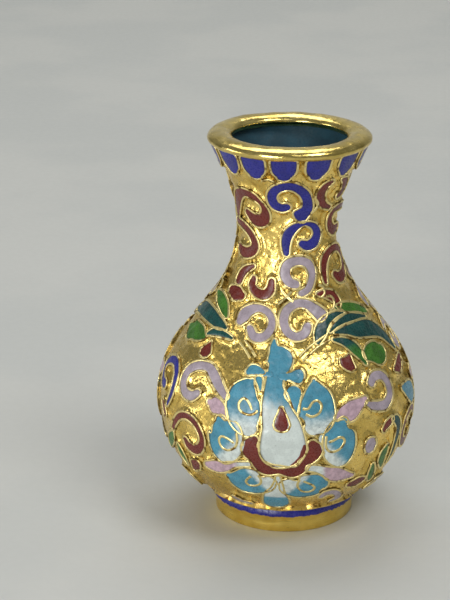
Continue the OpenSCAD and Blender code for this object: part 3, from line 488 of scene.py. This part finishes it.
def add_wire_loops(shape, az, cells):
    """Wires soldered on edge round each cell."""
    for cell in cells:
        columns = []
        for offset, h, _ in WIRE_SECTION:
            left, right = two_sides(cell, offset * WIRE_W)
            loop = np.vstack([left, right[::-1]])
            columns.append(on_wall(az, loop[:, 0], loop[:, 1], h))
        rings = np.stack(columns, axis=1)
        shape.sweep(rings, closed=True, rim=np.broadcast_to(WIRE_SIDE_SHADE, rings.shape[:2]))


def add_wire_lines(shape, az, lines):
    """Open wires along lists of [across, up]."""
    for line in lines:
        q, heading = spline([[x, s, 0] for x, s in line], CURL_STEP)
        side = np.stack([-heading[:, 1], heading[:, 0]], axis=1)
        columns = []
        for offset, h, _ in WIRE_SECTION:
            p = q[:, :2] + offset * CURL_W * side
            columns.append(on_wall(az, p[:, 0], p[:, 1], h + CURL_RISE))
        rings = np.stack(columns, axis=1)
        shape.sweep(rings, rim=np.broadcast_to(WIRE_SIDE_SHADE, rings.shape[:2]))


def add_enamel(shape, az, cells, fade=None, rise=0.0):
    """Enamel in each cell, a little hollow beside the wires. fade(across, up) is 0 to 1."""
    for cell in cells:
        left, right = two_sides(cell, TUCK - WIRE_W / 2)
        widest = max(p[2] for p in cell)
        columns = 2 * min(8, math.ceil(widest / ENAMEL_STEP)) + 1
        v = np.sin(np.linspace(-math.pi / 2, math.pi / 2, columns))
        middle, half = (left + right) / 2, (left - right) / 2
        place = middle[:, None] + v[None, :, None] * half[:, None]
        top = ENAMEL_T - SETBACK - DIP * np.abs(v) ** 8 + rise
        upper = on_wall(az, place[..., 0], place[..., 1], top[None])
        lower = on_wall(az, place[:, [-1, 0], 0], place[:, [-1, 0], 1], BED)
        upper *= 1 + RIPPLE * waves(upper, 1.6, 5)[..., None]
        amount = np.zeros(place.shape[:2]) if fade is None else fade(place[..., 0], place[..., 1])
        # The rim attribute runs from 0 in the middle to 1 at the wires, and is 1 on the hidden
        # sides; the enamel material paints shade from it
        rim = np.broadcast_to(np.abs(v)[None], place.shape[:2])
        tail = np.zeros((len(left), 2))
        shape.sweep(np.concatenate([upper, lower], axis=1),
                    fade=np.hstack([amount, tail]), rim=np.hstack([rim, tail + 1]))


# ---- Materials

def srgb(r, g, b):
    """Colour given as 0-255 display values."""
    def linear(v):
        v /= 255
        return v / 12.92 if v <= 0.04045 else ((v + 0.055) / 1.055) ** 2.4
    return (linear(r), linear(g), linear(b), 1)


def scaled(colour, share):
    """The colour made darker or lighter."""
    return tuple(c * share for c in colour[:3]) + (1,)


class Graph:
    """One Principled material and the nodes that drive it."""

    def __init__(self, name, metallic=0.0, **constants):
        self.mat = bpy.data.materials.new(name)
        self.mat.use_nodes = True
        self.tree = self.mat.node_tree
        self.tree.nodes.clear()
        out = self.tree.nodes.new("ShaderNodeOutputMaterial")
        self.bsdf = self.tree.nodes.new("ShaderNodeBsdfPrincipled")
        self.bsdf.inputs["Metallic"].default_value = metallic
        for socket, value in constants.items():
            self.bsdf.inputs[socket.replace("_", " ")].default_value = value
        self.tree.links.new(self.bsdf.outputs[0], out.inputs[0])
        self.place = self.tree.nodes.new("ShaderNodeTexCoord").outputs["Object"]

    def put(self, socket, value):
        """Sets an input of the Principled node."""
        self.feed(self.bsdf.inputs[socket], value)

    def feed(self, socket, value):
        """Sets a socket from another node's output or from a constant."""
        if isinstance(value, bpy.types.NodeSocket):
            self.tree.links.new(value, socket)
        else:
            socket.default_value = value

    def stretched(self, around, up):
        """Object coordinates scaled so that marks run round the axis."""
        mapping = self.tree.nodes.new("ShaderNodeMapping")
        self.feed(mapping.inputs["Vector"], self.place)
        mapping.inputs["Scale"].default_value = (around, around, up)
        return mapping.outputs[0]

    def noise(self, size, detail=3.0, roughness=0.5, place=None):
        """Cloudy value about 0.3 to 0.7, with features about size mm across."""
        node = self.tree.nodes.new("ShaderNodeTexNoise")
        node.inputs["Scale"].default_value = 1 / (size * MM)
        node.inputs["Detail"].default_value = detail
        node.inputs["Roughness"].default_value = roughness
        self.feed(node.inputs["Vector"], place or self.place)
        return node.outputs[0]

    def cells(self, size):
        """Distance from scattered points, size mm apart: 0 at a point."""
        node = self.tree.nodes.new("ShaderNodeTexVoronoi")
        node.inputs["Scale"].default_value = 1 / (size * MM)
        self.feed(node.inputs["Vector"], self.place)
        return node.outputs["Distance"]

    def attribute(self, name):
        """Value stored on the mesh's points."""
        node = self.tree.nodes.new("ShaderNodeAttribute")
        node.attribute_name = name
        return node.outputs["Fac"]

    def spread(self, value, lo, hi, to_lo=0.0, to_hi=1.0):
        """Smooth step of value from lo..hi to to_lo..to_hi."""
        node = self.tree.nodes.new("ShaderNodeMapRange")
        node.interpolation_type = "SMOOTHSTEP"
        for socket, v in zip(node.inputs[:5], (value, lo, hi, to_lo, to_hi)):
            self.feed(socket, v)
        return node.outputs[0]

    def math(self, operation, a, b):
        """Two values through a Math node."""
        node = self.tree.nodes.new("ShaderNodeMath")
        node.operation = operation
        self.feed(node.inputs[0], a)
        self.feed(node.inputs[1], b)
        return node.outputs[0]

    def blend(self, share, a, b):
        """Colour a where share is 0 and b where it is 1."""
        node = self.tree.nodes.new("ShaderNodeMix")
        node.data_type = "RGBA"
        self.feed(node.inputs["Factor"], share)
        self.feed(node.inputs[6], a)
        self.feed(node.inputs[7], b)
        return node.outputs[2]

    def bump(self, height, depth, below=None):
        """Relief of depth mm."""
        node = self.tree.nodes.new("ShaderNodeBump")
        node.inputs["Distance"].default_value = depth * MM
        self.feed(node.inputs["Height"], height)
        if below is not None:
            self.feed(node.inputs["Normal"], below)
        return node.outputs[0]


def ground_gold():
    """Bright gilding over hammered copper, with dark pits and dull patches."""
    g = Graph("gilt_ground", metallic=1.0)
    patch = g.spread(g.noise(5, 3), 0.4, 0.62)
    fine = g.noise(0.45, 4, 0.6)
    pits = g.spread(g.cells(0.7), 0.1, 0.24, 1, 0)
    pits = g.math("MULTIPLY", pits, g.spread(g.noise(2.2, 2), 0.5, 0.6))
    base = g.blend(patch, srgb(252, 218, 124), srgb(226, 194, 104))
    base = g.blend(g.spread(fine, 0.56, 0.74, 0, 0.5), base, srgb(176, 142, 66))
    base = g.blend(pits, base, srgb(44, 32, 18))
    g.put("Base Color", base)
    dull = g.math("ADD", fine, g.math("MULTIPLY", patch, 0.15))
    g.put("Roughness", g.spread(dull, 0.4, 0.75, 0.16, 0.42))
    relief = g.bump(g.noise(0.9, 3, 0.6), 0.16)
    g.put("Normal", g.bump(pits, -0.08, relief))
    return g.mat


def wire_gold():
    """Pale satin gold on the ground tops, with dull worn stretches and painted shade darkening the
    lower sides.
    """
    g = Graph("gilt_wire", metallic=1.0)
    worn = g.spread(g.noise(1.2, 3), 0.54, 0.66)
    # Painted shade: the wire's lower sides, where it meets the ground and the enamel, darken
    # towards dark brown
    side_shade = g.spread(g.attribute("rim"), 0.3, 1.0, 0, 0.75)
    base = g.blend(worn, srgb(244, 224, 154), srgb(140, 112, 60))
    g.put("Base Color", g.blend(side_shade, base, srgb(58, 42, 20)))
    g.put("Roughness", g.spread(g.noise(0.3, 3), 0.35, 0.65, 0.3, 0.5))
    g.put("Normal", g.bump(g.noise(0.2, 2), 0.015))
    return g.mat


def rim_gold():
    """Heavy plating, polished by hand, with faint hairlines round the bead."""
    g = Graph("polished_gilt_rim", metallic=1.0)
    cloud = g.noise(4, 4, 0.6)
    base = g.blend(g.spread(cloud, 0.4, 0.65), srgb(240, 214, 130), srgb(208, 182, 98))
    g.put("Base Color", base)
    hair = g.noise(0.5, 3, 0.6, g.stretched(0.25, 3))
    g.put("Roughness", g.spread(hair, 0.35, 0.7, 0.12, 0.3))
    g.put("Normal", g.bump(hair, 0.012, g.bump(cloud, 0.12)))
    return g.mat


def foot_gold():
    """Satin gilding, brushed round the foot."""
    g = Graph("satin_gilt_foot", metallic=1.0)
    brush = g.noise(0.8, 4, 0.6, g.stretched(0.2, 4))
    cloud = g.noise(3, 3)
    base = g.blend(g.spread(cloud, 0.35, 0.65), srgb(252, 224, 124), srgb(238, 206, 104))
    g.put("Base Color", g.blend(g.spread(brush, 0.55, 0.75, 0, 0.25), base, srgb(160, 130, 58)))
    g.put("Roughness", g.spread(brush, 0.3, 0.7, 0.26, 0.46))
    g.put("Normal", g.bump(brush, 0.02))
    return g.mat


def enamel(name, body, other=None, cloud_size=1.8, mottle=0.16, edge=0.6, gloss=0.22):
    """Ground glass: cloudy colour, fine pits, and painted shade as a dark line along the wires.
    Where the fade attribute is 1 the cell turns to the other colour."""
    g = Graph(name, IOR=1.5)

    def clouded(cloud, colour):
        """The colour, darker and lighter by mottle."""
        share = g.spread(cloud, 0.36, 0.64)
        return g.blend(share, scaled(colour, 1 - mottle), scaled(colour, 1 + mottle))

    colour = clouded(g.noise(cloud_size, 4, 0.55), body)
    if other is not None:
        streak = g.noise(0.9, 3, 0.6)
        stray = g.math("MULTIPLY", g.math("SUBTRACT", streak, 0.5), 0.5)
        share = g.math("ADD", g.attribute("fade"), stray)
        colour = g.blend(g.spread(share, 0.1, 0.9), colour, clouded(streak, other))
    pits = g.spread(g.cells(0.55), 0.08, 0.18, 1, 0)
    pits = g.math("MULTIPLY", pits, g.spread(g.noise(1.1, 2), 0.52, 0.6))
    colour = g.blend(g.math("MULTIPLY", pits, 0.7), colour, scaled(body, 0.25))
    # Painted shade: the enamel darkens to a fifth of its colour at its edge beside the wires and on
    # its hidden sides, by the share edge
    line = g.spread(g.attribute("rim"), 0.86, 1.0)
    colour = g.blend(g.math("MULTIPLY", line, edge), colour, scaled(body, 0.2))
    g.put("Base Color", colour)
    g.put("Roughness", g.spread(g.noise(0.35, 3), 0.35, 0.65, gloss, gloss + 0.2))
    g.put("Normal", g.bump(pits, -0.03, g.bump(g.noise(0.6, 3), 0.02)))
    return g.mat


TURQUOISE = srgb(74, 138, 160)
WHITE = srgb(200, 208, 202)
PINK = srgb(184, 156, 166)
LEAF_GREEN = srgb(60, 108, 34)
LEAF_TEAL = srgb(20, 68, 64)
MATERIALS = {
    "gilt_ground": ground_gold(),
    "gilt_wire": wire_gold(),
    "polished_gilt_rim": rim_gold(),
    "satin_gilt_foot": foot_gold(),
    "dark_teal_enamel": enamel("dark_teal_enamel", srgb(30, 76, 92), cloud_size=3, gloss=0.5),
    "cobalt_enamel": enamel("cobalt_enamel", srgb(36, 38, 128), mottle=0.14),
    "oxblood_enamel": enamel("oxblood_enamel", srgb(106, 38, 28), mottle=0.12),
    "lilac_enamel": enamel("lilac_enamel", srgb(162, 149, 157), mottle=0.14),
    "leaf_green_enamel": enamel("leaf_green_enamel", LEAF_GREEN, srgb(24, 70, 62), mottle=0.22),
    "leaf_teal_enamel": enamel("leaf_teal_enamel", LEAF_TEAL, srgb(52, 104, 38), mottle=0.22),
    "white_enamel": enamel("white_enamel", WHITE, TURQUOISE, mottle=0.08),
    "pink_enamel": enamel("pink_enamel", PINK, WHITE, cloud_size=0.9, mottle=0.16),
    "turquoise_enamel": enamel("turquoise_enamel", TURQUOISE, WHITE, mottle=0.14),
}


# ---- Decoration

# Points round every cell, which solder_rise reads
outlines = []


def on_outline(az, cell):
    """Points on the copper round a cell, for the solder fillets."""
    left, right = two_sides(cell, WIRE_W / 2)
    loop = np.vstack([left, right])
    return on_wall(az, loop[:, 0], loop[:, 1], 0)


def wires(node, groups, lines=()):
    """One piece of wires: groups of (azimuth, cells) and open lines of (azimuth, lines)."""
    shape = Shape()
    for az, cells in groups:
        add_wire_loops(shape, az, cells)
        for cell in cells:
            outlines.append(on_outline(az, cell))
    for az, some in lines:
        add_wire_lines(shape, az, some)
    shape.piece(node + "_strip", "gilt_wire", node)


def glass(node, slot, groups, fade=None, rise=0.0, over=(), over_rise=0.1):
    """One piece of enamel: groups of (azimuth, cells), and runs over their neighbours."""
    shape = Shape()
    for az, cells in groups:
        add_enamel(shape, az, cells, fade, rise)
    for az, cells in over:
        add_enamel(shape, az, cells, fade, over_rise)
    shape.piece(node + "_glass", slot, node)


def at(azimuths, cells, shift=0):
    """The same cells at several azimuths."""
    return [(az + shift, cells) for az in azimuths]


last_tongue = FRONT_TONGUE_AZ[-1]
tongue_gap = (360 - last_tongue + FRONT_TONGUE_AZ[0]) / (BACK_TONGUES + 1)
back_tongue_az = tuple(last_tongue + (i + 1) * tongue_gap for i in range(BACK_TONGUES))
tongues = at(FRONT_TONGUE_AZ + back_tongue_az, [tongue])
wires("collar_wires", tongues)
glass("collar_blue_enamel", "cobalt_enamel", tongues)

neck_red = (at(LEFT_COLUMN_AZ, neck_red_left, NECK_SHIFT)
            + at(RIGHT_COLUMN_AZ, neck_red_right, -NECK_SHIFT))
# Loose ends of wire on the neck, as [across, up]
neck_ends = [
    [[-4.6, 50.4], [-3.4, 50.9], [-2.4, 50.6], [-1.6, 49.9]],
    [[5.4, 46.6], [6, 45.4], [5.6, 44.2], [4.6, 43.4]],
]
wires("neck_scroll_wires", at(LOTUS_AZ, neck_blue) + neck_red, at(LOTUS_AZ, neck_ends))
glass("neck_blue_enamel", "cobalt_enamel", at(LOTUS_AZ, neck_blue))
glass("neck_red_enamel", "oxblood_enamel", neck_red)

shoulder_red = (at(LOTUS_AZ, shoulder_crescent) + at(LEFT_COLUMN_AZ, shoulder_red_left, NECK_SHIFT)
                + at(RIGHT_COLUMN_AZ, shoulder_red_right, -NECK_SHIFT))
# Loose ends of wire in the gaps of the shoulder, as [across, up]
loose_ends = [
    [[-1.2, 26.4], [0, 27.5], [1.2, 28.8]],
    [[1.6, 26.9], [0.7, 27.6], [-0.6, 28.9]],
    [[6.4, 29.6], [7.5, 29], [7.8, 27.9], [7, 27.2]],
    [[8, 27.3], [9.4, 27], [10, 25.8], [9.4, 24.7], [8.6, 24.9]],
    [[3, 16.6], [4.4, 18], [6, 19.1], [8, 20.2]],
    [[3.6, 15.7], [5.2, 17.2], [6.9, 18.4], [9, 19.2]],
    [[-8.2, 18.3], [-7, 17.2], [-6, 15.8]],
    [[-7.2, 18.9], [-5.9, 17.6], [-4.9, 16.2]],
]
shoulder_scrolls = at(LOTUS_AZ, shoulder_lilac)
wires("shoulder_scroll_wires", shoulder_scrolls + shoulder_red, at(LOTUS_AZ, loose_ends))
glass("shoulder_lilac_enamel", "lilac_enamel", shoulder_scrolls)
glass("shoulder_red_enamel", "oxblood_enamel", shoulder_red)

leaf_green = (at(LEFT_COLUMN_AZ, leaf_green_left + belly_green_left)
              + at(RIGHT_COLUMN_AZ, leaf_green_right + belly_green_right))
leaf_teal = (at(LEFT_COLUMN_AZ, leaf_teal_left)
             + at(RIGHT_COLUMN_AZ, leaf_teal_right + belly_teal_right))
side_patch = at(RIGHT_COLUMN_AZ, side_turquoise)


def teal_fade(x, s):
    """The lowest leaf turns green downwards."""
    return (1 - smooth(s, 15.5, 18.5)) * (1 - smooth(np.abs(x + 4), 1.6, 3.2)) * (s > 12)


wires("leaf_wires", leaf_green + leaf_teal + side_patch)
glass("leaf_green_enamel", "leaf_green_enamel", leaf_green)
glass("leaf_teal_enamel", "leaf_teal_enamel", leaf_teal, teal_fade)
glass("side_turquoise_enamel", "turquoise_enamel", side_patch)

buds = at(LEFT_COLUMN_AZ, bud_left) + at(RIGHT_COLUMN_AZ, bud_right)
wires("bud_wires", buds)
glass("bud_red_enamel", "oxblood_enamel", buds)

belly_lilac = at(LEFT_COLUMN_AZ, belly_lilac_left) + at(RIGHT_COLUMN_AZ, belly_lilac_right)
belly_red = at(LEFT_COLUMN_AZ, belly_red_left) + at(RIGHT_COLUMN_AZ, belly_red_right)
belly_blue = at(LEFT_COLUMN_AZ, belly_blue_left)
wires("belly_scroll_wires", belly_lilac + belly_red + belly_blue)
glass("belly_blue_enamel", "cobalt_enamel", belly_blue)
glass("belly_lilac_enamel", "lilac_enamel", belly_lilac)
glass("belly_red_enamel", "oxblood_enamel", belly_red)

low = at(LOTUS_AZ, low_lilac) + at(FOOT_FILL_AZ, foot_lilac)
wires("low_scroll_wires", low)
glass("low_lilac_enamel", "lilac_enamel", low)


# Fades of the lotus colours, at x across and s up

def heart_fade(x, s):
    """White at the bottom, turquoise at the tip."""
    return smooth(s + 0.35 * x, 3.5, 11)


def upper_fade(x, s):
    """White at the bottom."""
    return 1 - smooth(s, 1.5, 8)


def side_fade(x, s):
    """White towards the middle of the flower and at the bottom."""
    return 1 - smooth(np.minimum(np.abs(x) - 9.2 + 0.8 * s, 3 * (np.abs(x) - 7.8)), -2.6, 2)


def lower_fade(x, s):
    """White near the sepal."""
    return 1 - smooth((np.abs(x) - 3.4) * 0.6 - (s + 8.6) * 0.5, -0.6, 1)


def pink_fade(x, s):
    """White at the inner end."""
    return 1 - smooth(np.abs(x), 7, 9.5)


def drop_fade(x, s):
    """Turquoise at the bottom."""
    return 1 - smooth(s, -13.4, -12)


# White fills in the corners between the petals and the sepal
corners = [
    [[-8.6, 2.9, 0.1], [-7.5, 1.9, 0.3], [-6.9, 0.8, 0.5], [-6.9, -0.6, 0.4], [-7.1, -1.8, 0.15]],
    [[8.7, 3.1, 0.1], [7.9, 2.1, 0.3], [7.6, 1, 0.45], [7.9, -0.3, 0.4], [8.1, -1.6, 0.15]],
]

# Turquoise that ran over the wires between the knob and its side knobs, and the red
# that ran from the sepal into the heart
bridges = [
    [[-4.4, 13.3, 0.35], [-3.2, 13.2, 0.45], [-2, 13.1, 0.45]],
    [[0, 12.8, 0.6], [1.2, 12.8, 0.7], [2.4, 12.9, 0.75]],
]
spills = [
    [[4.4, 0, 0.2], [4.3, -1, 0.5], [3.9, -2.2, 0.45], [3, -3.2, 0.3], [2.2, -3.8, 0.15]],
]

flower = [heart, seed, sepal, drop] + upper_petals + side_petals + pink_petals + lower_petals
for side, az in zip(("front", "right", "left"), LOTUS_AZ):
    wires(side + "_lotus_wires", [(az, flower)])
    wires(side + "_lotus_curls", [], [(az, curls)])
    glass(side + "_lotus_heart", "white_enamel", [(az, [heart])], heart_fade, over=[(az, bridges)])
    glass(side + "_lotus_seed", "oxblood_enamel", [(az, [seed])], rise=0.04)
    glass(side + "_lotus_upper_petals", "turquoise_enamel", [(az, upper_petals)], upper_fade)
    glass(side + "_lotus_side_petals", "turquoise_enamel", [(az, side_petals + corners)], side_fade)
    glass(side + "_lotus_lower_petals", "turquoise_enamel", [(az, lower_petals)], lower_fade)
    glass(side + "_lotus_sepal", "oxblood_enamel", [(az, [sepal])],
          over=[(az, spills)], over_rise=0.03)
    glass(side + "_lotus_pink_petals", "pink_enamel", [(az, pink_petals)], pink_fade)
    glass(side + "_lotus_drop", "white_enamel", [(az, [drop])], drop_fade)


# ---- Metal body

# Columns round the vase, mm between the rows of the hammered ground, rows of the copper's
# plain inside and of the lining, and columns of the line over the foot
GROUND_COLUMNS = 396
GROUND_STEP = 0.36
INNER_ROWS = 20
LINING_ROWS = 110
BAND_COLUMNS = 512
# Height and reach of the solder beside a wire, and the deepest dent, mm
SOLDER_H = 0.5
SOLDER_REACH = 0.34
DEEPEST_DENT = 0.15
# The ground is plain this far under the lip, and its dents grow over the next stretch, mm
PLAIN_LIP = 2
DENT_FADE = 3
# Ripple of the lining as a share of its radius, and its stop under the lip, mm
LINING_RIPPLE = 0.002
LINING_STOP = 0.5
AROUND = np.linspace(0, 2 * math.pi, GROUND_COLUMNS, endpoint=False)


def solder_rise(points):
    """Height of the solder and gold that fill up to the wires, mm."""
    marks = np.vstack(outlines)
    tree = kdtree.KDTree(len(marks))
    for i, p in enumerate(marks):
        tree.insert(p, i)
    tree.balance()
    gap = np.array([tree.find(p)[2] for p in points.reshape(-1, 3)]) / MM
    return (SOLDER_H * np.exp(-(gap / SOLDER_REACH) ** 2)).reshape(points.shape[:-1])


def body_shell():
    """Copper body: hammered gilt ground outside, plain inside under the lining."""
    shape = Shape()
    s = np.arange(BASE_S, LIP_S, GROUND_STEP)
    r, z = on_profile(s, 0)
    outer = round_axis(r[:, None], z[:, None], AROUND[None])
    dented = np.clip((LIP_S - PLAIN_LIP - s) / DENT_FADE, 0, 1)[:, None]
    h = solder_rise(outer) + dented * relief(outer, (0.05, 2.6, 1), (0.045, 1.1, 2))
    r, z = on_profile(s[:, None], np.maximum(h, -DEEPEST_DENT))
    outer = round_axis(r, z, AROUND[None])
    inner_s = np.linspace(LIP_S, BASE_S, INNER_ROWS)
    r, z = on_profile(inner_s, -SHELL_T)
    z = np.maximum(z, BASE_Z + SHELL_T)
    inner = round_axis(r[:, None], z[:, None], AROUND[None])
    base = round_axis(CORE_R, BASE_Z, AROUND)[None]
    floor = round_axis(CORE_R, BASE_Z + SHELL_T, AROUND)[None]
    shape.sweep(np.concatenate([base, outer, inner, floor]))
    shape.piece("body_shell_ground", "gilt_ground", "body_shell")


def interior_enamel():
    """Lining between the copper and the hollow."""
    shape = Shape()
    turn = AROUND[::2]
    s = np.linspace(BASE_S, LIP_S - LINING_STOP, LINING_ROWS)
    layers = []
    for h, run in ((-SHELL_T, s), (-SHELL_T - LINING_T, s[::-1])):
        r, z = on_profile(run, h)
        layers.append(round_axis(r[:, None], np.maximum(z, BASE_Z - h)[:, None], turn[None]))
    first = round_axis(CORE_R, BASE_Z + SHELL_T, turn)[None]
    last = round_axis(CORE_R, BASE_Z + SHELL_T + LINING_T, turn)[None]
    layers[1] *= 1 + LINING_RIPPLE * waves(layers[1], 6, 9)[..., None]
    shape.sweep(np.concatenate([first] + layers + [last]))
    shape.piece("interior_enamel_glass", "dark_teal_enamel", "interior_enamel")


def underside_enamel():
    """Counter-enamel inside the foot ring, against the flat base and the belly round it."""
    shape = Shape()
    turn = AROUND[::2]
    radii = np.linspace(0.5, FOOT_R - FOOT_T, 20)
    past_centre = np.maximum(0, radii - BELLY_CENTRE[0])
    copper = BELLY_CENTRE[1] - np.sqrt((BELLY_R - ENAMEL_T) ** 2 - past_centre ** 2)
    copper = np.maximum(copper, BASE_Z)
    low = round_axis(radii[:, None], BASE_Z - BASE_ENAMEL_T, turn[None])
    low[..., 2] += relief(low, (0.05, 4, 11)) * MM
    low[..., 2] += (copper - BASE_Z)[:, None] * MM
    high = round_axis(radii[::-1, None], copper[::-1, None] + 0.01, turn[None])
    shape.sweep(np.concatenate([low, high]))
    shape.piece("underside_enamel_glass", "dark_teal_enamel", "underside_enamel")


def rim_ring():
    """Heavy oval bead, a little uneven from hand polishing."""
    shape = Shape()
    turn = np.linspace(0, 2 * math.pi, 256, endpoint=False)[:, None]
    a = np.linspace(0, 2 * math.pi, 48, endpoint=False)[None]
    r = RIM_CREST_R + RIM_HALF_W * np.cos(a)
    z = RIM_Z + RIM_HALF_H * np.sin(a)
    ring = round_axis(r, z, turn)
    bulge = relief(ring, (0.05, 9, 21), (0.02, 3, 22))
    ring = round_axis(r + bulge * np.cos(a), z + bulge * np.sin(a), turn)
    shape.sweep(ring, closed=True)
    shape.piece("rim_ring_bead", "polished_gilt_rim", "rim_ring")


def foot_ring():
    """Standing ring: straight at the bottom, flared to its upper edge, its top let into
    the belly."""
    shape = Shape()
    turn = np.linspace(0, 2 * math.pi, 256, endpoint=False)
    edge = 0.12
    t = np.linspace(0, 1, 8)
    flare_r = FOOT_R + t * t * (FOOT_TOP_R - FOOT_R)
    flare_z = FOOT_STRAIGHT_H + t * (FOOT_H - FOOT_STRAIGHT_H)
    inner_r = FOOT_R - FOOT_T
    r = np.concatenate([[inner_r, inner_r + edge, FOOT_R - edge, FOOT_R], flare_r,
                        [FOOT_TOP_R - edge, FOOT_R, inner_r]])
    z = np.concatenate([[edge, 0, 0, edge], flare_z,
                        [FOOT_H + edge, FOOT_H + 1.0, FOOT_H + 0.6]])
    ring = round_axis(r[None], z[None], turn[:, None])
    shape.sweep(ring, closed=True)
    shape.piece("foot_ring_band", "satin_gilt_foot", "foot_ring")


def foot_band_enamel():
    """Dark blue line over the foot, ragged at its lower edge and lower at the front."""
    turn = np.linspace(0, 2 * math.pi, BAND_COLUMNS, endpoint=False)[:, None]
    around = round_axis(FOOT_TOP_R, 0, turn)
    ragged = relief(around, (0.09, 2.2, 31), (0.08, 0.8, 32))
    low = FOOT_H + 0.15 - 0.25 * np.cos(turn) + ragged
    r_low = FOOT_TOP_R - 0.12 * np.maximum(0, FOOT_H - low)
    # Section from the lower edge up: how far over it, and how far out from the foot's top
    up = np.array([0.06, 0.2, 0.6, 1.0, BAND_H, BAND_H])
    out = np.array([0.06, 0.14, 0.16, 0.02, -0.3, -1.2])
    top = low + up
    r = np.hstack([r_low - 0.3, r_low + 0.03, np.broadcast_to(FOOT_TOP_R + out, top.shape)])
    z = np.hstack([low, low, top])
    shape = Shape()
    shape.sweep(round_axis(r, z, turn), closed=True)
    shape.piece("foot_band_enamel_glass", "cobalt_enamel", "foot_band_enamel")


def foot_band_wire():
    """Scalloped wire over the blue line, wider than the others."""
    width, scallops, lowest_s, scallop_h = 0.55, 17, -21.2, 0.9
    turn = np.linspace(0, 2 * math.pi, BAND_COLUMNS, endpoint=False)
    dip = np.abs(np.sin(turn * scallops / 2 + 0.4 * np.sin(3 * turn)))
    uneven = relief(round_axis(FOOT_TOP_R, 0, turn), (0.1, 7, 33))
    s = lowest_s + scallop_h * dip + uneven
    columns = []
    for offset, h, _ in WIRE_SECTION:
        r, z = on_profile(s + offset * width, h)
        columns.append(round_axis(r, z, turn))
    shape = Shape()
    shape.sweep(np.stack(columns, axis=1), closed=True)
    shape.piece("foot_band_wire_strip", "gilt_wire", "foot_band_wire")


body_shell()
interior_enamel()
underside_enamel()
rim_ring()
foot_ring()
foot_band_enamel()
foot_band_wire()


# ---- Room, light and camera

def stage_material():
    """Matt pale grey with faint clouds."""
    g = Graph("pale_floor")
    cloud = g.spread(g.noise(60, 3), 0.4, 0.6)
    g.put("Base Color", g.blend(cloud, srgb(192, 193, 188), srgb(198, 198, 192)))
    g.put("Roughness", g.spread(g.noise(2, 3), 0.4, 0.6, 0.55, 0.65))
    return g.mat


# The floor lies this far under the foot, in metres, so that the two faces don't coincide
FLOOR_GAP = 0.00004


def stage():
    """Pale floor that bends up into a backdrop, in metres."""
    depth, bend, height, width, turns = 0.9, 0.25, 1.2, 3.5, 16
    run = [(-width, 0.0), (depth - bend, 0.0)]
    for i in range(1, turns + 1):
        a = math.pi / 2 * i / turns
        run.append((depth - bend + bend * math.sin(a), bend - bend * math.cos(a)))
    run.append((depth, height))
    points = [(x, y, z - FLOOR_GAP) for y, z in run for x in (-width, width)]
    faces = [(2 * i, 2 * i + 1, 2 * i + 3, 2 * i + 2) for i in range(len(run) - 1)]
    mesh = bpy.data.meshes.new("stage")
    mesh.from_pydata(points, [], faces)
    mesh.shade_smooth()
    mesh.materials.append(stage_material())
    obj = bpy.data.objects.new("stage", mesh)
    bpy.context.scene.collection.objects.link(obj)


def softbox(name, place, size, power, target=(0, 0, 0.035)):
    """Area light at place, metres, turned to the vase."""
    data = bpy.data.lights.new(name, "AREA")
    data.shape = "RECTANGLE"
    data.size, data.size_y = size
    data.energy = power
    obj = bpy.data.objects.new(name, data)
    bpy.context.scene.collection.objects.link(obj)
    back = Vector(place) - Vector(target)
    obj.rotation_euler = back.to_track_quat("Z", "Y").to_euler()
    obj.location = place


def room_light():
    """Daylight from a window in front and softer light from above."""
    world = bpy.data.worlds.new("room")
    world.use_nodes = True
    background = world.node_tree.nodes["Background"]
    background.inputs["Color"].default_value = (0.9, 0.95, 1, 1)
    background.inputs["Strength"].default_value = 0.24
    bpy.context.scene.world = world
    softbox("front_window", (-0.38, -0.88, 0.22), (0.4, 0.5), 5)
    softbox("high_right", (0.36, -0.28, 0.75), (0.35, 0.35), 2.6)
    softbox("ceiling", (-0.1, 0.5, 1.0), (0.9, 0.6), 4.6)
    softbox("low_left", (-0.6, -0.1, 0.12), (0.2, 0.15), 0.5)


def camera():
    """Eye a little above the vase, turned slightly from its front."""
    orbit, pan, down, roll = (math.radians(a) for a in (2, 1.883, 19.64, 0.293))
    eye = (0, -0.35548, 0.16863)
    data = bpy.data.cameras.new("camera")
    data.lens = 120
    data.sensor_width = 36
    obj = bpy.data.objects.new("camera", data)
    bpy.context.scene.collection.objects.link(obj)
    obj.matrix_world = (
        Matrix.Rotation(orbit, 4, "Z")
        @ Matrix.Translation(eye)
        @ Matrix.Rotation(pan, 4, "Z")
        @ Matrix.Rotation(math.pi / 2 - down, 4, "X")
        @ Matrix.Rotation(roll, 4, "Z")
    )
    bpy.context.scene.camera = obj


stage()
room_light()
camera()
bpy.context.scene.view_settings.view_transform = "Standard"
